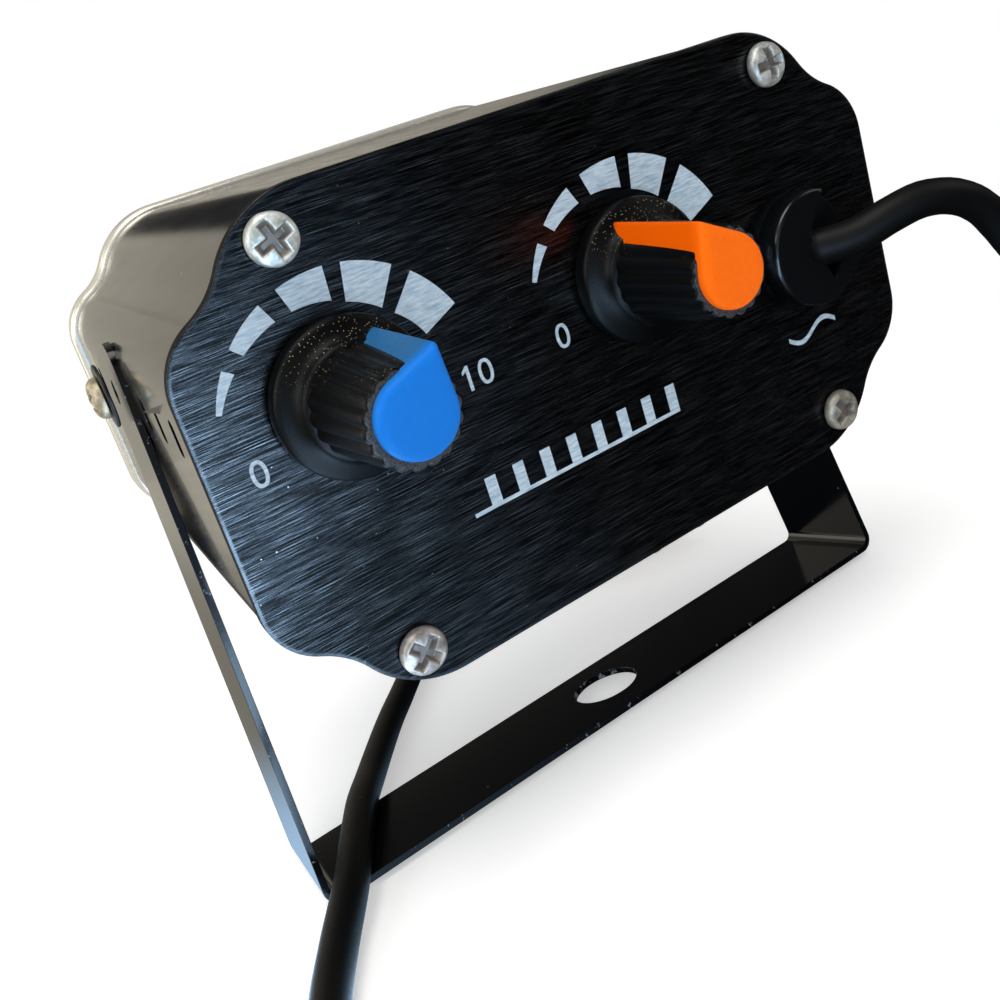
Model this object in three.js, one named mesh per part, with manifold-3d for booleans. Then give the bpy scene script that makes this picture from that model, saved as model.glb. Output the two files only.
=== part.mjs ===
// A small LED strobe light: a deep black case with ogee corners on a U-shaped stand, two dials and a
// mains cord on its rear panel. Millimetres, +Z up, the lens faces +Y and the rear panel faces -Y.
import * as THREE from "three";
import { mergeVertices } from "three/addons/utils/BufferGeometryUtils.js";
import Module from "manifold-3d";

const wasm = await Module();
wasm.setup();

// Clearances and the overrun of a cutting solid
const gap = 0.3;
const overrun = 2;

// Case outline: half sizes of the rear panel and its ogee corners
const panelHalfWidth = 50.6;
const panelHalfHeight = 30.1;
const topShoulderX = 30.5;
const topShoulderRadius = 12.97;
const sideShoulderY = 12.34;
const sideShoulderRadius = 8.26;
const hollowRadius = 11.35;
const shoulderSteps = 6;
const hollowSteps = 4;

// Case, rear panel and front bezel
const caseDepth = 85;
const panelThickness = 1.5;
const caseInset = 0.3;
const caseWall = 1.2;
const bezelDepth = 5;
const bezelOutset = 0.6;
const bezelRound = 1.2;
const screwX = 35.2;
const screwY = 25;
const bossRadius = 3;
const railHeight = 1.6;
const railReach = 1.5;
const ventWidth = 2;
const ventHeight = 4.6;
const ventMiddleY = 7.4;
const ventPitchShare = 0.1118;
const ventFirst = 9;
const ventPlaceShares = [0, 1, 2, 6];

// Light engine behind the front window
const apertureHalfWidth = 43;
const apertureHalfHeight = 19;
const apertureCorner = 4;
const windowThickness = 2;
const reflectorThickness = 6;
const ledBoardThickness = 1.6;
const ledColumns = 5;
const ledRows = 2;
const ledPitchX = 16.4;
const ledPitchY = 18;
const cupFrontRadius = 7.2;
const cupBackRadius = 3.6;
const ledBaseRadius = 2.9;
const ledBaseHeight = 1;
const ledDomeRadius = 2.1;

// Driver board and what stands on it
const boardThickness = 1.6;
const boardLevel = -12.8;
const boardRear = 9;
const boardToLeds = 7.5;
const inductorWidth = 17;
const inductorLength = 15;
const inductorHeight = 13;
const capacitorRadius = 5;
const capacitorHeight = 15;
const fuseRadius = 2.6;
const fuseLength = 15;
const rectifierWidth = 12;
const rectifierLength = 4;
const rectifierHeight = 10;
const chipWidth = 6.4;
const chipLength = 9.6;
const chipHeight = 3.4;
const transistorWidth = 10.2;
const transistorThickness = 4.4;
const transistorHeight = 14;

// Machine screws
const screwRadius = 1.5;
const screwHeadRadius = 2.9;
const screwHeadHeight = 2;
const screwLength = 9;
const crossLength = 3.2;
const crossWidth = 0.8;
const crossDepth = 1;

// Dials: potentiometers, nuts, shafts, knobs and their coloured pointers
const dialLeft = { x: -33, y: 6.5, turn: 57 };
const dialRight = { x: 7.2, y: 6.5, turn: 114 };
const potRadius = 8.2;
const potDepth = 9;
const potBushRadius = 3.5;
const potBushLength = 3.2;
const legWidth = 1.2;
const legThickness = 0.6;
const legDrop = 3;
const legPitch = 5;
const potNutRadius = 5.6;
const potNutHeight = 1.9;
const potShaftRadius = 3;
const knobSkirtRadius = 9.1;
const knobSkirtEdge = 2.1;
const knobShoulderRadius = 6.6;
const knobShoulderHeight = 5.6;
const knobHeight = 17.9;
const knobFoot = 0.4;
const barrelRootRadius = 5.9;
const barrelEndRadius = 5.45;
const fluteDepth = 0.28;
const fluteCount = 18;
const fluteSteps = 4;
const pointerRound = 4.3;
const pointerOffset = 0.25;
const pointerReach = 7.35;
const pointerStand = 0.7;
const pointerSink = 1.2;
const pointerTipWidth = 0.6;
const pointerStripDepth = 1.1;

// Cord grip and cord
const gripX = 33;
const gripY = 0.5;
const gripRadius = 7.8;
const gripHeight = 5.6;
const gripNeckRadius = 4.4;
const gripNeckDepth = 6;
const gripBackRadius = 5.6;
const gripNotchDepth = 3;
const gripNotchTurn = 33;
const gripNotchBack = 2.6;
const cordRadius = 2.5;
const cordSides = 10;
const cordStep = 12;
const innerCordLength = 20;
const wireRadius = 0.8;
const wireSides = 8;
const wireSteps = 14;
const flatWireWidth = 3.2;

// Coil of put-away cord, its tie and the plug
const coilX = 19.5;
const coilY = 96.5;
const coilOuterRadius = 27;
const coilPitch = 5.5;
const coilLayer = 5.5;
const coilTurnsIn = 2;
const coilTurnsOut = 2;
const coilClimbDip = 0.8;
const coilSteps = 24;
const coilSides = 6;
const leastCoilGap = 0.4;
const tieThickness = 0.8;
const tieWidth = 8;
const tieSlack = 0.7;
const tailLevel = 2;
const tailSlope = 6;
const tailStraight = 4;
const plugLevel = 7;
const plugGripLength = 10;
const plugGripRadius = 3.6;
const plugGripEnd = 5;
const plugRibCount = 4;
const plugRibHeight = 0.6;
const plugLength = 20;
const plugHalfWidth = 10.5;
const plugRound = 1.6;
const plugCorner = 4;
const bladeThickness = 1.5;
const bladeWidth = 6.4;
const bladeLength = 16;
const bladeSeat = 5;
const bladeSpacing = 12.7;

// Stand: one bent strap, hung on a pivot screw at each side
const pivotHeight = 77;
const pivotToPanel = 46;
const pivotAboveMiddle = 8.4;
const tiltDegrees = 13;
const strapWidth = 21;
const strapThickness = 1;
const armLean = 2.6;
const armAbovePivot = 6.3;
const armCorner = 4;
const armCornerSteps = 4;
const bendRadius = 2.5;
const bendSteps = 4;
const standHoleRadius = 5.5;
const pivotScrewRadius = 1.5;
const pivotHeadRadius = 3.1;
const pivotHeadHeight = 1.7;
const pivotWasherRadius = 4.7;
const pivotWasherThickness = 0.5;
const pivotNutRadius = 3.1;
const pivotNutHeight = 2.4;

// Facets of round pieces, and the least of them
const round = 32;
const fine = 24;
const coarse = 14;

// Colours of the real pieces
function finish(color, roughness, metalness) {
  return new THREE.MeshStandardMaterial({ color, roughness, metalness });
}
const blackPaint = () => finish(0x0c0c0d, 0.18, 0);
const brushedBlack = () => finish(0x15181c, 0.35, 0.8);
const blackPlastic = () => finish(0x141416, 0.5, 0);
const blackCord = () => finish(0x0b0b0c, 0.45, 0);
const nickel = () => finish(0xc4c2bb, 0.25, 1);
const brass = () => finish(0xc9a14a, 0.3, 1);
const boardGreen = () => finish(0x1f5a36, 0.5, 0);
const aluminium = () => finish(0xd2d5d8, 0.25, 1);

// A closed geometry as a solid that can be joined and cut
function solid(geometry) {
  const bare = geometry.clone();
  bare.deleteAttribute("normal");
  bare.deleteAttribute("uv");
  const merged = mergeVertices(bare, 1e-4);
  return new wasm.Manifold(
    new wasm.Mesh({
      numProp: 3,
      vertProperties: merged.attributes.position.array,
      triVerts: new Uint32Array(merged.index.array),
    }),
  );
}

// The geometry of a solid
function surface(body) {
  const found = body.getMesh();
  const geometry = new THREE.BufferGeometry();
  geometry.setAttribute("position", new THREE.BufferAttribute(found.vertProperties, 3));
  geometry.setIndex(new THREE.BufferAttribute(found.triVerts, 1));
  geometry.computeVertexNormals();
  return geometry;
}

// A base geometry joined with some geometries, then cut by others
function shaped(base, joined, removed) {
  let body = solid(base);
  for (const piece of joined) body = body.add(solid(piece));
  for (const piece of removed) body = body.subtract(solid(piece));
  return surface(body);
}

function piece(name, geometry, material) {
  const mesh = new THREE.Mesh(geometry, material);
  mesh.name = name;
  return mesh;
}

// A flat outline carried along z from low to high
function slab(outline, low, high) {
  const shape = Array.isArray(outline) ? new THREE.Shape(outline) : outline;
  return new THREE.ExtrudeGeometry(shape, { depth: high - low, bevelEnabled: false }).translate(0, 0, low);
}

// A round bar or, with two radii, a cone along z
function bar(radius, low, high, sides, endRadius = radius) {
  return new THREE.CylinderGeometry(endRadius, radius, high - low, sides)
    .rotateX(Math.PI / 2)
    .translate(0, 0, (low + high) / 2);
}

function block(width, height, depth, x, y, z) {
  return new THREE.BoxGeometry(width, height, depth).translate(x, y, z);
}

// A profile of [radius, height] pairs turned about z, closed on its axis
function turned(profile, sides) {
  const points = profile.map(([radius, height]) => new THREE.Vector2(radius, height));
  return new THREE.LatheGeometry(points, sides).rotateX(Math.PI / 2);
}

// A rectangle with round corners
function roundedRectangle(halfWidth, halfHeight, corner) {
  const shape = new THREE.Shape();
  const right = halfWidth - corner;
  const top = halfHeight - corner;
  shape.absarc(right, top, corner, 0, Math.PI / 2);
  shape.absarc(-right, top, corner, Math.PI / 2, Math.PI);
  shape.absarc(-right, -top, corner, Math.PI, Math.PI * 1.5);
  shape.absarc(right, -top, corner, Math.PI * 1.5, Math.PI * 2);
  return new THREE.Shape(shape.getPoints(hollowSteps));
}

// Points of one arc, end points included
function arc(x, y, radius, from, to, steps) {
  const points = [];
  for (let i = 0; i <= steps; i++) {
    const angle = from + ((to - from) * i) / steps;
    points.push(new THREE.Vector2(x + radius * Math.cos(angle), y + radius * Math.sin(angle)));
  }
  return points;
}

// The case outline moved inward by inset: flat sides, and corners that swell, hollow and swell again
function ogeeOutline(inset) {
  const top = new THREE.Vector2(topShoulderX, panelHalfHeight - topShoulderRadius);
  const side = new THREE.Vector2(panelHalfWidth - sideShoulderRadius, sideShoulderY);
  const span = top.distanceTo(side);
  const fromTop = topShoulderRadius + hollowRadius;
  const fromSide = sideShoulderRadius + hollowRadius;
  const along = (fromTop ** 2 - fromSide ** 2 + span ** 2) / (2 * span);
  const across = Math.sqrt(fromTop ** 2 - along ** 2);
  const way = side.clone().sub(top).normalize();
  const outward = new THREE.Vector2(-way.y, way.x);
  const hollow = top.clone().addScaledVector(way, along).addScaledVector(outward, across);
  const sideTurn = Math.atan2(hollow.y - side.y, hollow.x - side.x);
  const topTurn = Math.atan2(hollow.y - top.y, hollow.x - top.x);
  const back = [sideTurn - Math.PI, topTurn - Math.PI];
  const corner = [
    ...arc(side.x, side.y, sideShoulderRadius - inset, 0, sideTurn, shoulderSteps),
    ...arc(hollow.x, hollow.y, hollowRadius + inset, ...back, hollowSteps).slice(1),
    ...arc(top.x, top.y, topShoulderRadius - inset, topTurn, Math.PI / 2, shoulderSteps).slice(1),
  ];
  const mirrored = (sx, sy) => corner.map((p) => new THREE.Vector2(p.x * sx, p.y * sy));
  return [
    ...corner,
    ...mirrored(-1, 1).reverse(),
    ...mirrored(-1, -1),
    ...mirrored(1, -1).reverse(),
  ];
}

// The four corners of a rectangle, from its half sizes
function corners(x, y) {
  return [
    [-x, y],
    [x, y],
    [x, -y],
    [-x, -y],
  ];
}

const corner = ["top_left", "top_right", "bottom_right", "bottom_left"];
const radians = THREE.MathUtils.degToRad;

// Places along the case, from the rear panel's outer face forward as negative z
const caseRear = -(panelThickness + gap);
const bezelBack = -(caseDepth - bezelDepth);
const caseFront = bezelBack + gap;
const sideFace = panelHalfWidth - caseInset;
const innerSide = sideFace - caseWall;
const screwHole = screwRadius + gap;
const ventPitch = caseDepth * ventPitchShare;

// Window, reflector and LED board fill the case behind the bezel, between the screw bosses
const opticHalfHeight = screwY - bossRadius - gap;
const windowBack = caseFront + windowThickness;
const reflectorBack = windowBack + gap + reflectorThickness;
const ledBoardFront = reflectorBack + gap + ledBaseHeight;
const ledBoardBack = ledBoardFront + ledBoardThickness;
const boardFront = ledBoardBack + boardToLeds;
const boardLength = -boardRear - boardFront;

// Case: an extruded sleeve with screw bosses in its corners, rails for the board and side vents
function makeCase() {
  const wall = new THREE.Shape(ogeeOutline(caseInset));
  wall.holes.push(new THREE.Path(ogeeOutline(caseInset + caseWall)));
  const bosses = corners(screwX, screwY).map(([x, y]) =>
    bar(bossRadius, caseFront, caseRear, coarse).translate(x, y, 0),
  );
  const rails = [];
  const railRear = -boardRear;
  const railRoot = innerSide + caseWall / 2;
  const railWidth = railReach + railRoot - innerSide;
  for (const side of [-1, 1]) {
    for (const level of [
      boardLevel - gap - railHeight / 2,
      boardLevel + boardThickness + gap + railHeight / 2,
    ]) {
      const middle = side * (railRoot - railWidth / 2);
      rails.push(
        block(railWidth, railHeight, railRear - boardFront, middle, level, (railRear + boardFront) / 2),
      );
    }
  }
  const holes = corners(screwX, screwY).flatMap(([x, y]) => [
    bar(screwHole, caseRear - screwLength, caseRear + overrun, coarse).translate(x, y, 0),
    bar(screwHole, caseFront - overrun, caseFront + screwLength, coarse).translate(x, y, 0),
  ]);
  const slot = roundedRectangle(ventWidth / 2, ventHeight / 2, ventWidth / 2 - overrun * 1e-3);
  const vents = [-1, 1].flatMap((side) =>
    ventPlaceShares.map((share) =>
      slab(slot, -caseWall - overrun, caseWall + overrun)
        .rotateY(Math.PI / 2)
        .translate(side * (sideFace - caseWall / 2), ventMiddleY, -(ventFirst + share * ventPitch)),
    ),
  );
  const pivotBore = bar(pivotScrewRadius + gap, -sideFace - overrun, sideFace + overrun, coarse)
    .rotateY(Math.PI / 2)
    .translate(0, pivotAboveMiddle, -pivotToPanel);
  return shaped(slab(wall, caseFront, caseRear), [...bosses, ...rails], [...holes, ...vents, pivotBore]);
}

// Rear panel: a brushed plate with holes for its screws, the dials and the cord grip
function makePanel() {
  const bores = corners(screwX, screwY).map(([x, y]) =>
    bar(screwHole, -panelThickness - overrun, overrun, coarse).translate(x, y, 0),
  );
  for (const dial of [dialLeft, dialRight]) {
    const bore = bar(potBushRadius + gap, -panelThickness - overrun, overrun, fine);
    bores.push(bore.translate(dial.x, dial.y, 0));
  }
  bores.push(bar(gripNeckRadius + gap, -panelThickness - overrun, overrun, fine).translate(gripX, gripY, 0));
  return shaped(slab(ogeeOutline(0), -panelThickness, 0), [], bores);
}

// Front bezel: a rim with rounded edges that stands proud of the case, round the window
function makeBezel() {
  const rim = new THREE.ExtrudeGeometry(new THREE.Shape(ogeeOutline(bezelRound - bezelOutset)), {
    depth: bezelDepth - 2 * bezelRound,
    bevelThickness: bezelRound,
    bevelSize: bezelRound,
    bevelSegments: 3,
  }).translate(0, 0, -caseDepth + bezelRound);
  const aperture = slab(
    roundedRectangle(apertureHalfWidth, apertureHalfHeight, apertureCorner),
    -caseDepth - overrun,
    bezelBack + overrun,
  );
  const bores = corners(screwX, screwY).map(([x, y]) =>
    bar(screwHole, -caseDepth - overrun, bezelBack + overrun, coarse).translate(x, y, 0),
  );
  return shaped(rim, [], [aperture, ...bores]);
}

// A plate that fills the case's inside, as high as the bosses leave free
function makeOptic(front, back) {
  const filled = slab(ogeeOutline(caseInset + caseWall + gap), front, back);
  const between = block(
    2 * panelHalfWidth,
    2 * opticHalfHeight,
    back - front + overrun,
    0,
    0,
    (front + back) / 2,
  );
  return surface(solid(filled).intersect(solid(between)));
}

function ledPlaces() {
  const places = [];
  for (let row = 0; row < ledRows; row++) {
    for (let column = 0; column < ledColumns; column++) {
      places.push([
        (column - (ledColumns - 1) / 2) * ledPitchX,
        (row - (ledRows - 1) / 2) * ledPitchY,
      ]);
    }
  }
  return places;
}

function makeReflector() {
  const front = windowBack + gap;
  const lean = (cupFrontRadius - cupBackRadius) / reflectorThickness;
  const cups = ledPlaces().map(([x, y]) =>
    bar(
      cupFrontRadius + overrun * lean,
      front - overrun,
      reflectorBack + overrun,
      fine,
      cupBackRadius - overrun * lean,
    ).translate(x, y, 0),
  );
  return shaped(makeOptic(front, reflectorBack), [], cups);
}

// One LED: a round base with a clear dome towards the front
function makeLed() {
  const steps = 4;
  const profile = [
    [0, 0],
    [ledBaseRadius, 0],
    [ledBaseRadius, ledBaseHeight],
  ];
  for (let i = 0; i <= steps; i++) {
    const angle = (Math.PI / 2) * (i / steps);
    const radius = i === steps ? 0 : ledDomeRadius * Math.cos(angle);
    profile.push([radius, ledBaseHeight + ledDomeRadius * Math.sin(angle)]);
  }
  return turned(profile, coarse).rotateX(Math.PI);
}

// A machine screw with a domed head and a cross recess, its head seated at z = gap
function makeScrew(length) {
  const steps = 4;
  const profile = [[0, -length]];
  profile.push([screwRadius, -length], [screwRadius, gap], [screwHeadRadius, gap]);
  for (let i = 0; i <= steps; i++) {
    const share = i / steps;
    const radius = i === steps ? 0 : screwHeadRadius * Math.cos((Math.PI / 2) * share);
    const rise = (screwHeadHeight - crossWidth) * Math.sin((Math.PI / 2) * share);
    profile.push([radius, gap + crossWidth + rise]);
  }
  const top = gap + screwHeadHeight - crossDepth + overrun / 2;
  const cross = [
    block(crossLength, crossWidth, overrun, 0, 0, top),
    block(crossWidth, crossLength, overrun, 0, 0, top),
  ];
  return shaped(turned(profile, coarse), [], cross);
}

// Potentiometer: a metal can with three legs and a threaded bush, its face behind the panel
function makePot() {
  const face = -panelThickness - gap;
  const can = bar(potRadius, face - potDepth, face, fine);
  const bush = bar(potBushRadius, face - overrun, potBushLength, fine);
  const legs = [-1, 0, 1].map((place) =>
    block(
      legWidth,
      legDrop + overrun,
      legThickness,
      place * legPitch,
      -(potRadius + (legDrop - overrun) / 2),
      face - overrun,
    ),
  );
  const bore = bar(potShaftRadius + gap, face - potDepth + overrun, potBushLength + overrun, fine);
  return shaped(can, [bush, ...legs], [bore]);
}

function makePotNut() {
  return shaped(
    bar(potNutRadius, gap, gap + potNutHeight, 6),
    [],
    [bar(potBushRadius + gap, -overrun, potNutHeight + overrun, fine)],
  );
}

// The dial's shaft runs from inside the can to the knob
const shaftEnd = knobHeight - pointerSink - 2 * gap - overrun;
function makeShaft() {
  return bar(potShaftRadius, -(panelThickness + potDepth) + overrun + gap, shaftEnd, fine);
}

// Pointer outline on the knob's end: a round with two tangents that run to a narrow tip past the barrel
function pointerOutline(grow) {
  const reach = pointerReach + grow;
  const half = (pointerTipWidth + grow) / 2;
  const radius = pointerRound + grow;
  const away = Math.hypot(reach - pointerOffset, half);
  const open = Math.acos(radius / away) + Math.atan2(half, reach - pointerOffset);
  const points = arc(pointerOffset, 0, radius, open, Math.PI * 2 - open, fine - 2);
  points.push(new THREE.Vector2(reach, -half));
  points.push(new THREE.Vector2(reach, half));
  return points;
}

// The coloured insert: a drop-shaped face on the knob's end, whose tip runs down the barrel as a ridge
function pointerSolids(grow) {
  const low = knobHeight - pointerSink - grow;
  const high = knobHeight + pointerStand;
  const outline = pointerOutline(grow);
  const face = slab(outline, low, high);
  const inner = barrelEndRadius - pointerStripDepth - grow;
  const foot = knobShoulderHeight - grow;
  const side = outline[0];
  const tip = outline[outline.length - 1];
  const root = tip.y + ((side.y - tip.y) * (tip.x - inner)) / (tip.x - side.x);
  const ridge = slab(
    [
      new THREE.Vector2(inner, -root),
      new THREE.Vector2(tip.x, -tip.y),
      new THREE.Vector2(tip.x, tip.y),
      new THREE.Vector2(inner, root),
    ],
    foot,
    high,
  );
  return [face, ridge];
}

// Knob: a domed skirt, a fluted barrel that tapers, a hollow for the nut and a blind shaft bore
function makeKnob() {
  const skirt = turned(
    [
      [0, knobFoot],
      [knobSkirtRadius, knobFoot],
      [knobSkirtRadius, knobSkirtEdge],
      [(knobShoulderRadius + knobSkirtRadius) / 2 + knobFoot, (knobShoulderHeight + 2 * knobSkirtEdge) / 3],
      [knobShoulderRadius, knobShoulderHeight],
      [0, knobShoulderHeight],
    ],
    round,
  );
  const flutes = [];
  const count = fluteCount * fluteSteps;
  for (let i = 0; i < count; i++) {
    const angle = (Math.PI * 2 * i) / count;
    const radius = barrelRootRadius - fluteDepth * (1 - Math.cos((Math.PI * 2 * i) / fluteSteps)) / 2;
    flutes.push(new THREE.Vector2(radius * Math.cos(angle), radius * Math.sin(angle)));
  }
  const barrel = slab(flutes, knobShoulderHeight - gap, knobHeight);
  const places = barrel.attributes.position;
  for (let i = 0; i < places.count; i++) {
    if (places.getZ(i) > knobShoulderHeight) {
      places.setX(i, (places.getX(i) * barrelEndRadius) / barrelRootRadius);
      places.setY(i, (places.getY(i) * barrelEndRadius) / barrelRootRadius);
    }
  }
  const hollowTop = gap + potNutHeight + potBushLength - overrun;
  const hollow = bar(potNutRadius + 2 * gap, knobFoot - overrun, hollowTop, fine);
  const bore = bar(potShaftRadius + gap, knobFoot, shaftEnd + gap, fine);
  return shaped(skirt, [barrel], [hollow, bore, ...pointerSolids(gap)]);
}

function makePointer() {
  const [face, ridge] = pointerSolids(0);
  return shaped(face, [ridge], []);
}

// The cord's route where it isn't coiled: out of the grip, down to the table, round the front of the
// light, back over the stand and behind it. [x, y, z] from the stand's middle on the table.
const route = [
  [32.5, -46.5, 57.8],
  [38, -50.1, 57.2],
  [42.8, -52.6, 58],
  [47.4, -54.2, 58.2],
  [52.6, -54.9, 56.6],
  [56.4, -54.9, 53.8],
  [59, -54.6, 50],
  [60.7, -55, 45.2],
  [62.1, -56.6, 36.4],
  [62, -60.6, 25.7],
  [60, -67, 16.4],
  [56, -75.2, 9.5],
  [50, -82.8, 5.2],
  [42.3, -89.6, 3.2],
  [33, -95.3, 2.5],
  [22.9, -99.8, 2.5],
  [12, -103, 2.5],
  [0.6, -104.2, 2.5],
  [-10.9, -103.8, 2.5],
  [-22.1, -101.6, 2.5],
  [-32.7, -97.6, 2.5],
  [-42.4, -92, 2.5],
  [-50.7, -85.1, 2.5],
  [-57.3, -77, 2.5],
  [-61.8, -67.5, 2.5],
  [-63.8, -56.4, 2.5],
  [-63.2, -44.9, 2.5],
  [-60.3, -33.8, 2.5],
  [-55.9, -23.2, 2.8],
  [-50.8, -12.9, 3.6],
  [-46.6, -2.3, 3.9],
  [-42.4, 8.5, 3.8],
  [-37.9, 19, 2.8],
  [-32.7, 29.3, 2.5],
  [-27.1, 39.3, 2.5],
  [-21, 49, 2.6],
  [-14.9, 58.8, 3],
  [-10.1, 69.2, 3.5],
  [-8.1, 80, 3.6],
  [-7.5, 90.9, 3.6],
];

function vectors(points) {
  return points.map(([x, y, z]) => new THREE.Vector3(x, y, z));
}

// A round section carried along a path
function tube(path, radius, sides, steps) {
  const section = new THREE.Shape(arc(0, 0, radius, 0, Math.PI * 2, sides).slice(0, sides));
  return new THREE.ExtrudeGeometry(section, { steps, extrudePath: path, bevelEnabled: false });
}

// The free cord ends straight for one diameter, towards +y, where the coil begins
const leadEnd = new THREE.Vector3(...route[route.length - 1]);
const coilLevel = leadEnd.z;
function makeLead() {
  const straight = leadEnd.clone().add(new THREE.Vector3(0, 2 * cordRadius, 0));
  const path = new THREE.CatmullRomCurve3([...vectors(route), straight], false, "centripetal");
  return tube(path, cordRadius, cordSides, Math.round(path.getLength() / cordStep));
}

// The coil's middle line: in at a steady rate, up one layer in half a turn, out again, then a short
// tail back towards the light.
// Turns run clockwise from the side where the cord comes in.
function coilPoint(turns) {
  const outEnd = coilTurnsIn + 0.5;
  const climb = THREE.MathUtils.clamp((turns - coilTurnsIn) / 0.5, 0, 1);
  const inward = Math.min(turns, coilTurnsIn) - Math.max(turns - outEnd, 0);
  const nearClimb = THREE.MathUtils.clamp(turns - coilTurnsIn + 0.25, 0, 1);
  const dip = coilClimbDip * Math.sin(Math.PI * nearClimb) ** 2;
  const radius = coilOuterRadius - coilPitch * inward - dip;
  const angle = Math.PI - turns * Math.PI * 2;
  return new THREE.Vector3(
    coilX + radius * Math.cos(angle),
    coilY + radius * Math.sin(angle),
    coilLevel + coilLayer * climb,
  );
}

function coilLine() {
  const start = leadEnd.clone().add(new THREE.Vector3(0, 2 * cordRadius + gap, 0));
  const points = [start, start.clone().add(new THREE.Vector3(0, 2 * cordRadius, 0))];
  const turns = coilTurnsIn + 0.5 + coilTurnsOut;
  const steps = Math.round(turns * coilSteps);
  for (let i = 1; i <= steps; i++) {
    const point = coilPoint((turns * i) / steps);
    if (i > 2 || point.y > points[1].y + cordRadius) points.push(point);
  }
  const last = points[points.length - 1];
  const slopeEnd = last.y - tailLevel - tailSlope;
  points.push(last.clone().add(new THREE.Vector3(0, -tailLevel, 0)));
  points.push(new THREE.Vector3(last.x, slopeEnd, plugLevel));
  points.push(new THREE.Vector3(last.x, slopeEnd - tailStraight, plugLevel));
  return points;
}

// The least space between two turns of the tube, measured from middle line to middle line
function leastSelfGap(points) {
  const along = [0];
  for (let i = 1; i < points.length; i++) along.push(along[i - 1] + points[i].distanceTo(points[i - 1]));
  let least = Infinity;
  for (let i = 0; i < points.length; i++) {
    for (let j = i + 1; j < points.length; j++) {
      if (along[j] - along[i] < 6 * cordRadius) continue;
      least = Math.min(least, points[i].distanceTo(points[j]));
    }
  }
  return least - 2 * cordRadius;
}

// One unbroken tube: a ring of points at each place on the middle line, and two closed ends
function ringTube(points, radius, sides) {
  const positions = [];
  const faces = [];
  const up = new THREE.Vector3(0, 0, 1);
  points.forEach((point, i) => {
    const before = points[Math.max(i - 1, 0)];
    const after = points[Math.min(i + 1, points.length - 1)];
    const tangent = after.clone().sub(before).normalize();
    const side = new THREE.Vector3().crossVectors(tangent, up).normalize();
    const over = new THREE.Vector3().crossVectors(side, tangent);
    for (let k = 0; k < sides; k++) {
      const angle = (Math.PI * 2 * (k + 0.5)) / sides;
      const spot = point
        .clone()
        .addScaledVector(side, radius * Math.cos(angle))
        .addScaledVector(over, radius * Math.sin(angle));
      positions.push(spot.x, spot.y, spot.z);
    }
  });
  for (let i = 0; i + 1 < points.length; i++) {
    for (let k = 0; k < sides; k++) {
      const a = i * sides + k;
      const b = i * sides + ((k + 1) % sides);
      faces.push(a, a + sides, b, b, a + sides, b + sides);
    }
  }
  const last = (points.length - 1) * sides;
  for (let k = 1; k + 1 < sides; k++) {
    faces.push(0, k, k + 1);
    faces.push(last, last + k + 1, last + k);
  }
  const geometry = new THREE.BufferGeometry();
  geometry.setAttribute("position", new THREE.Float32BufferAttribute(positions, 3));
  geometry.setIndex(faces);
  return geometry;
}

const coilPath = coilLine();
const coilGap = leastSelfGap(coilPath);
console.log(`coil: least gap to itself ${coilGap.toFixed(2)} mm, wanted over ${leastCoilGap} mm`);
const tubeLength = coilPath.reduce((sum, p, i) => (i ? sum + p.distanceTo(coilPath[i - 1]) : 0), 0);
console.log(`coil: ${tubeLength.toFixed(0)} mm of cord`);

// The tie goes round both layers on the side towards the light, where no turn climbs
function makeTie() {
  const spread = (coilTurnsIn - 0.75) * coilPitch;
  const innermost = coilOuterRadius - (coilTurnsIn - 0.25) * coilPitch;
  const middle = innermost + (spread - 0.25 * coilPitch) / 2;
  const halfWidth = (spread - 0.25 * coilPitch) / 2 + cordRadius + tieSlack;
  const low = tieThickness;
  const high = coilLevel + coilLayer + cordRadius + gap;
  const middleHeight = (low + high) / 2;
  const halfHeight = (high - low) / 2;
  const outline = roundedRectangle(halfWidth + tieThickness, halfHeight + tieThickness, cordRadius);
  outline.holes.push(
    new THREE.Path(
      roundedRectangle(halfWidth, halfHeight, cordRadius - tieThickness).getPoints(),
    ),
  );
  return slab(outline, -tieWidth / 2, tieWidth / 2)
    .rotateX(Math.PI / 2)
    .rotateZ(Math.PI / 2)
    .translate(coilX, coilY - middle, middleHeight);
}

// Plug: a moulded body with a ribbed grip, lying flat, and two flat blades. Its cord end is at x = 0.
function makePlug() {
  const body = new THREE.ExtrudeGeometry(
    roundedRectangle(plugLength / 2 - plugRound, plugHalfWidth - plugRound, plugCorner),
    {
      depth: 2 * (plugLevel - plugRound),
      bevelThickness: plugRound,
      bevelSize: plugRound,
      bevelSegments: 2,
    },
  ).translate(plugGripLength + plugLength / 2, 0, plugRound - plugLevel);
  const profile = [[0, 0]];
  for (let rib = 0; rib < plugRibCount; rib++) {
    const near = rib / plugRibCount;
    const radius = plugGripRadius + (plugGripEnd - plugGripRadius) * near;
    const start = plugGripLength * near;
    const middle = start + plugGripLength / plugRibCount / 2;
    profile.push([radius, start], [radius, middle], [radius - plugRibHeight, middle]);
    profile.push([radius - plugRibHeight, middle + plugGripLength / plugRibCount / 2]);
  }
  profile.push([plugGripEnd, plugGripLength], [plugGripEnd, plugGripLength + plugCorner]);
  profile.push([0, plugGripLength + plugCorner]);
  const grip = turned(profile, coarse).rotateX(-Math.PI / 2).rotateZ(-Math.PI / 2);
  const front = plugGripLength + plugLength;
  const pockets = [-1, 1].map((side) =>
    block(
      bladeSeat + gap + overrun,
      bladeThickness + 2 * gap,
      bladeWidth + 2 * gap,
      front - (bladeSeat + gap - overrun) / 2,
      (side * bladeSpacing) / 2,
      0,
    ),
  );
  return shaped(body, [grip], pockets);
}

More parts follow.
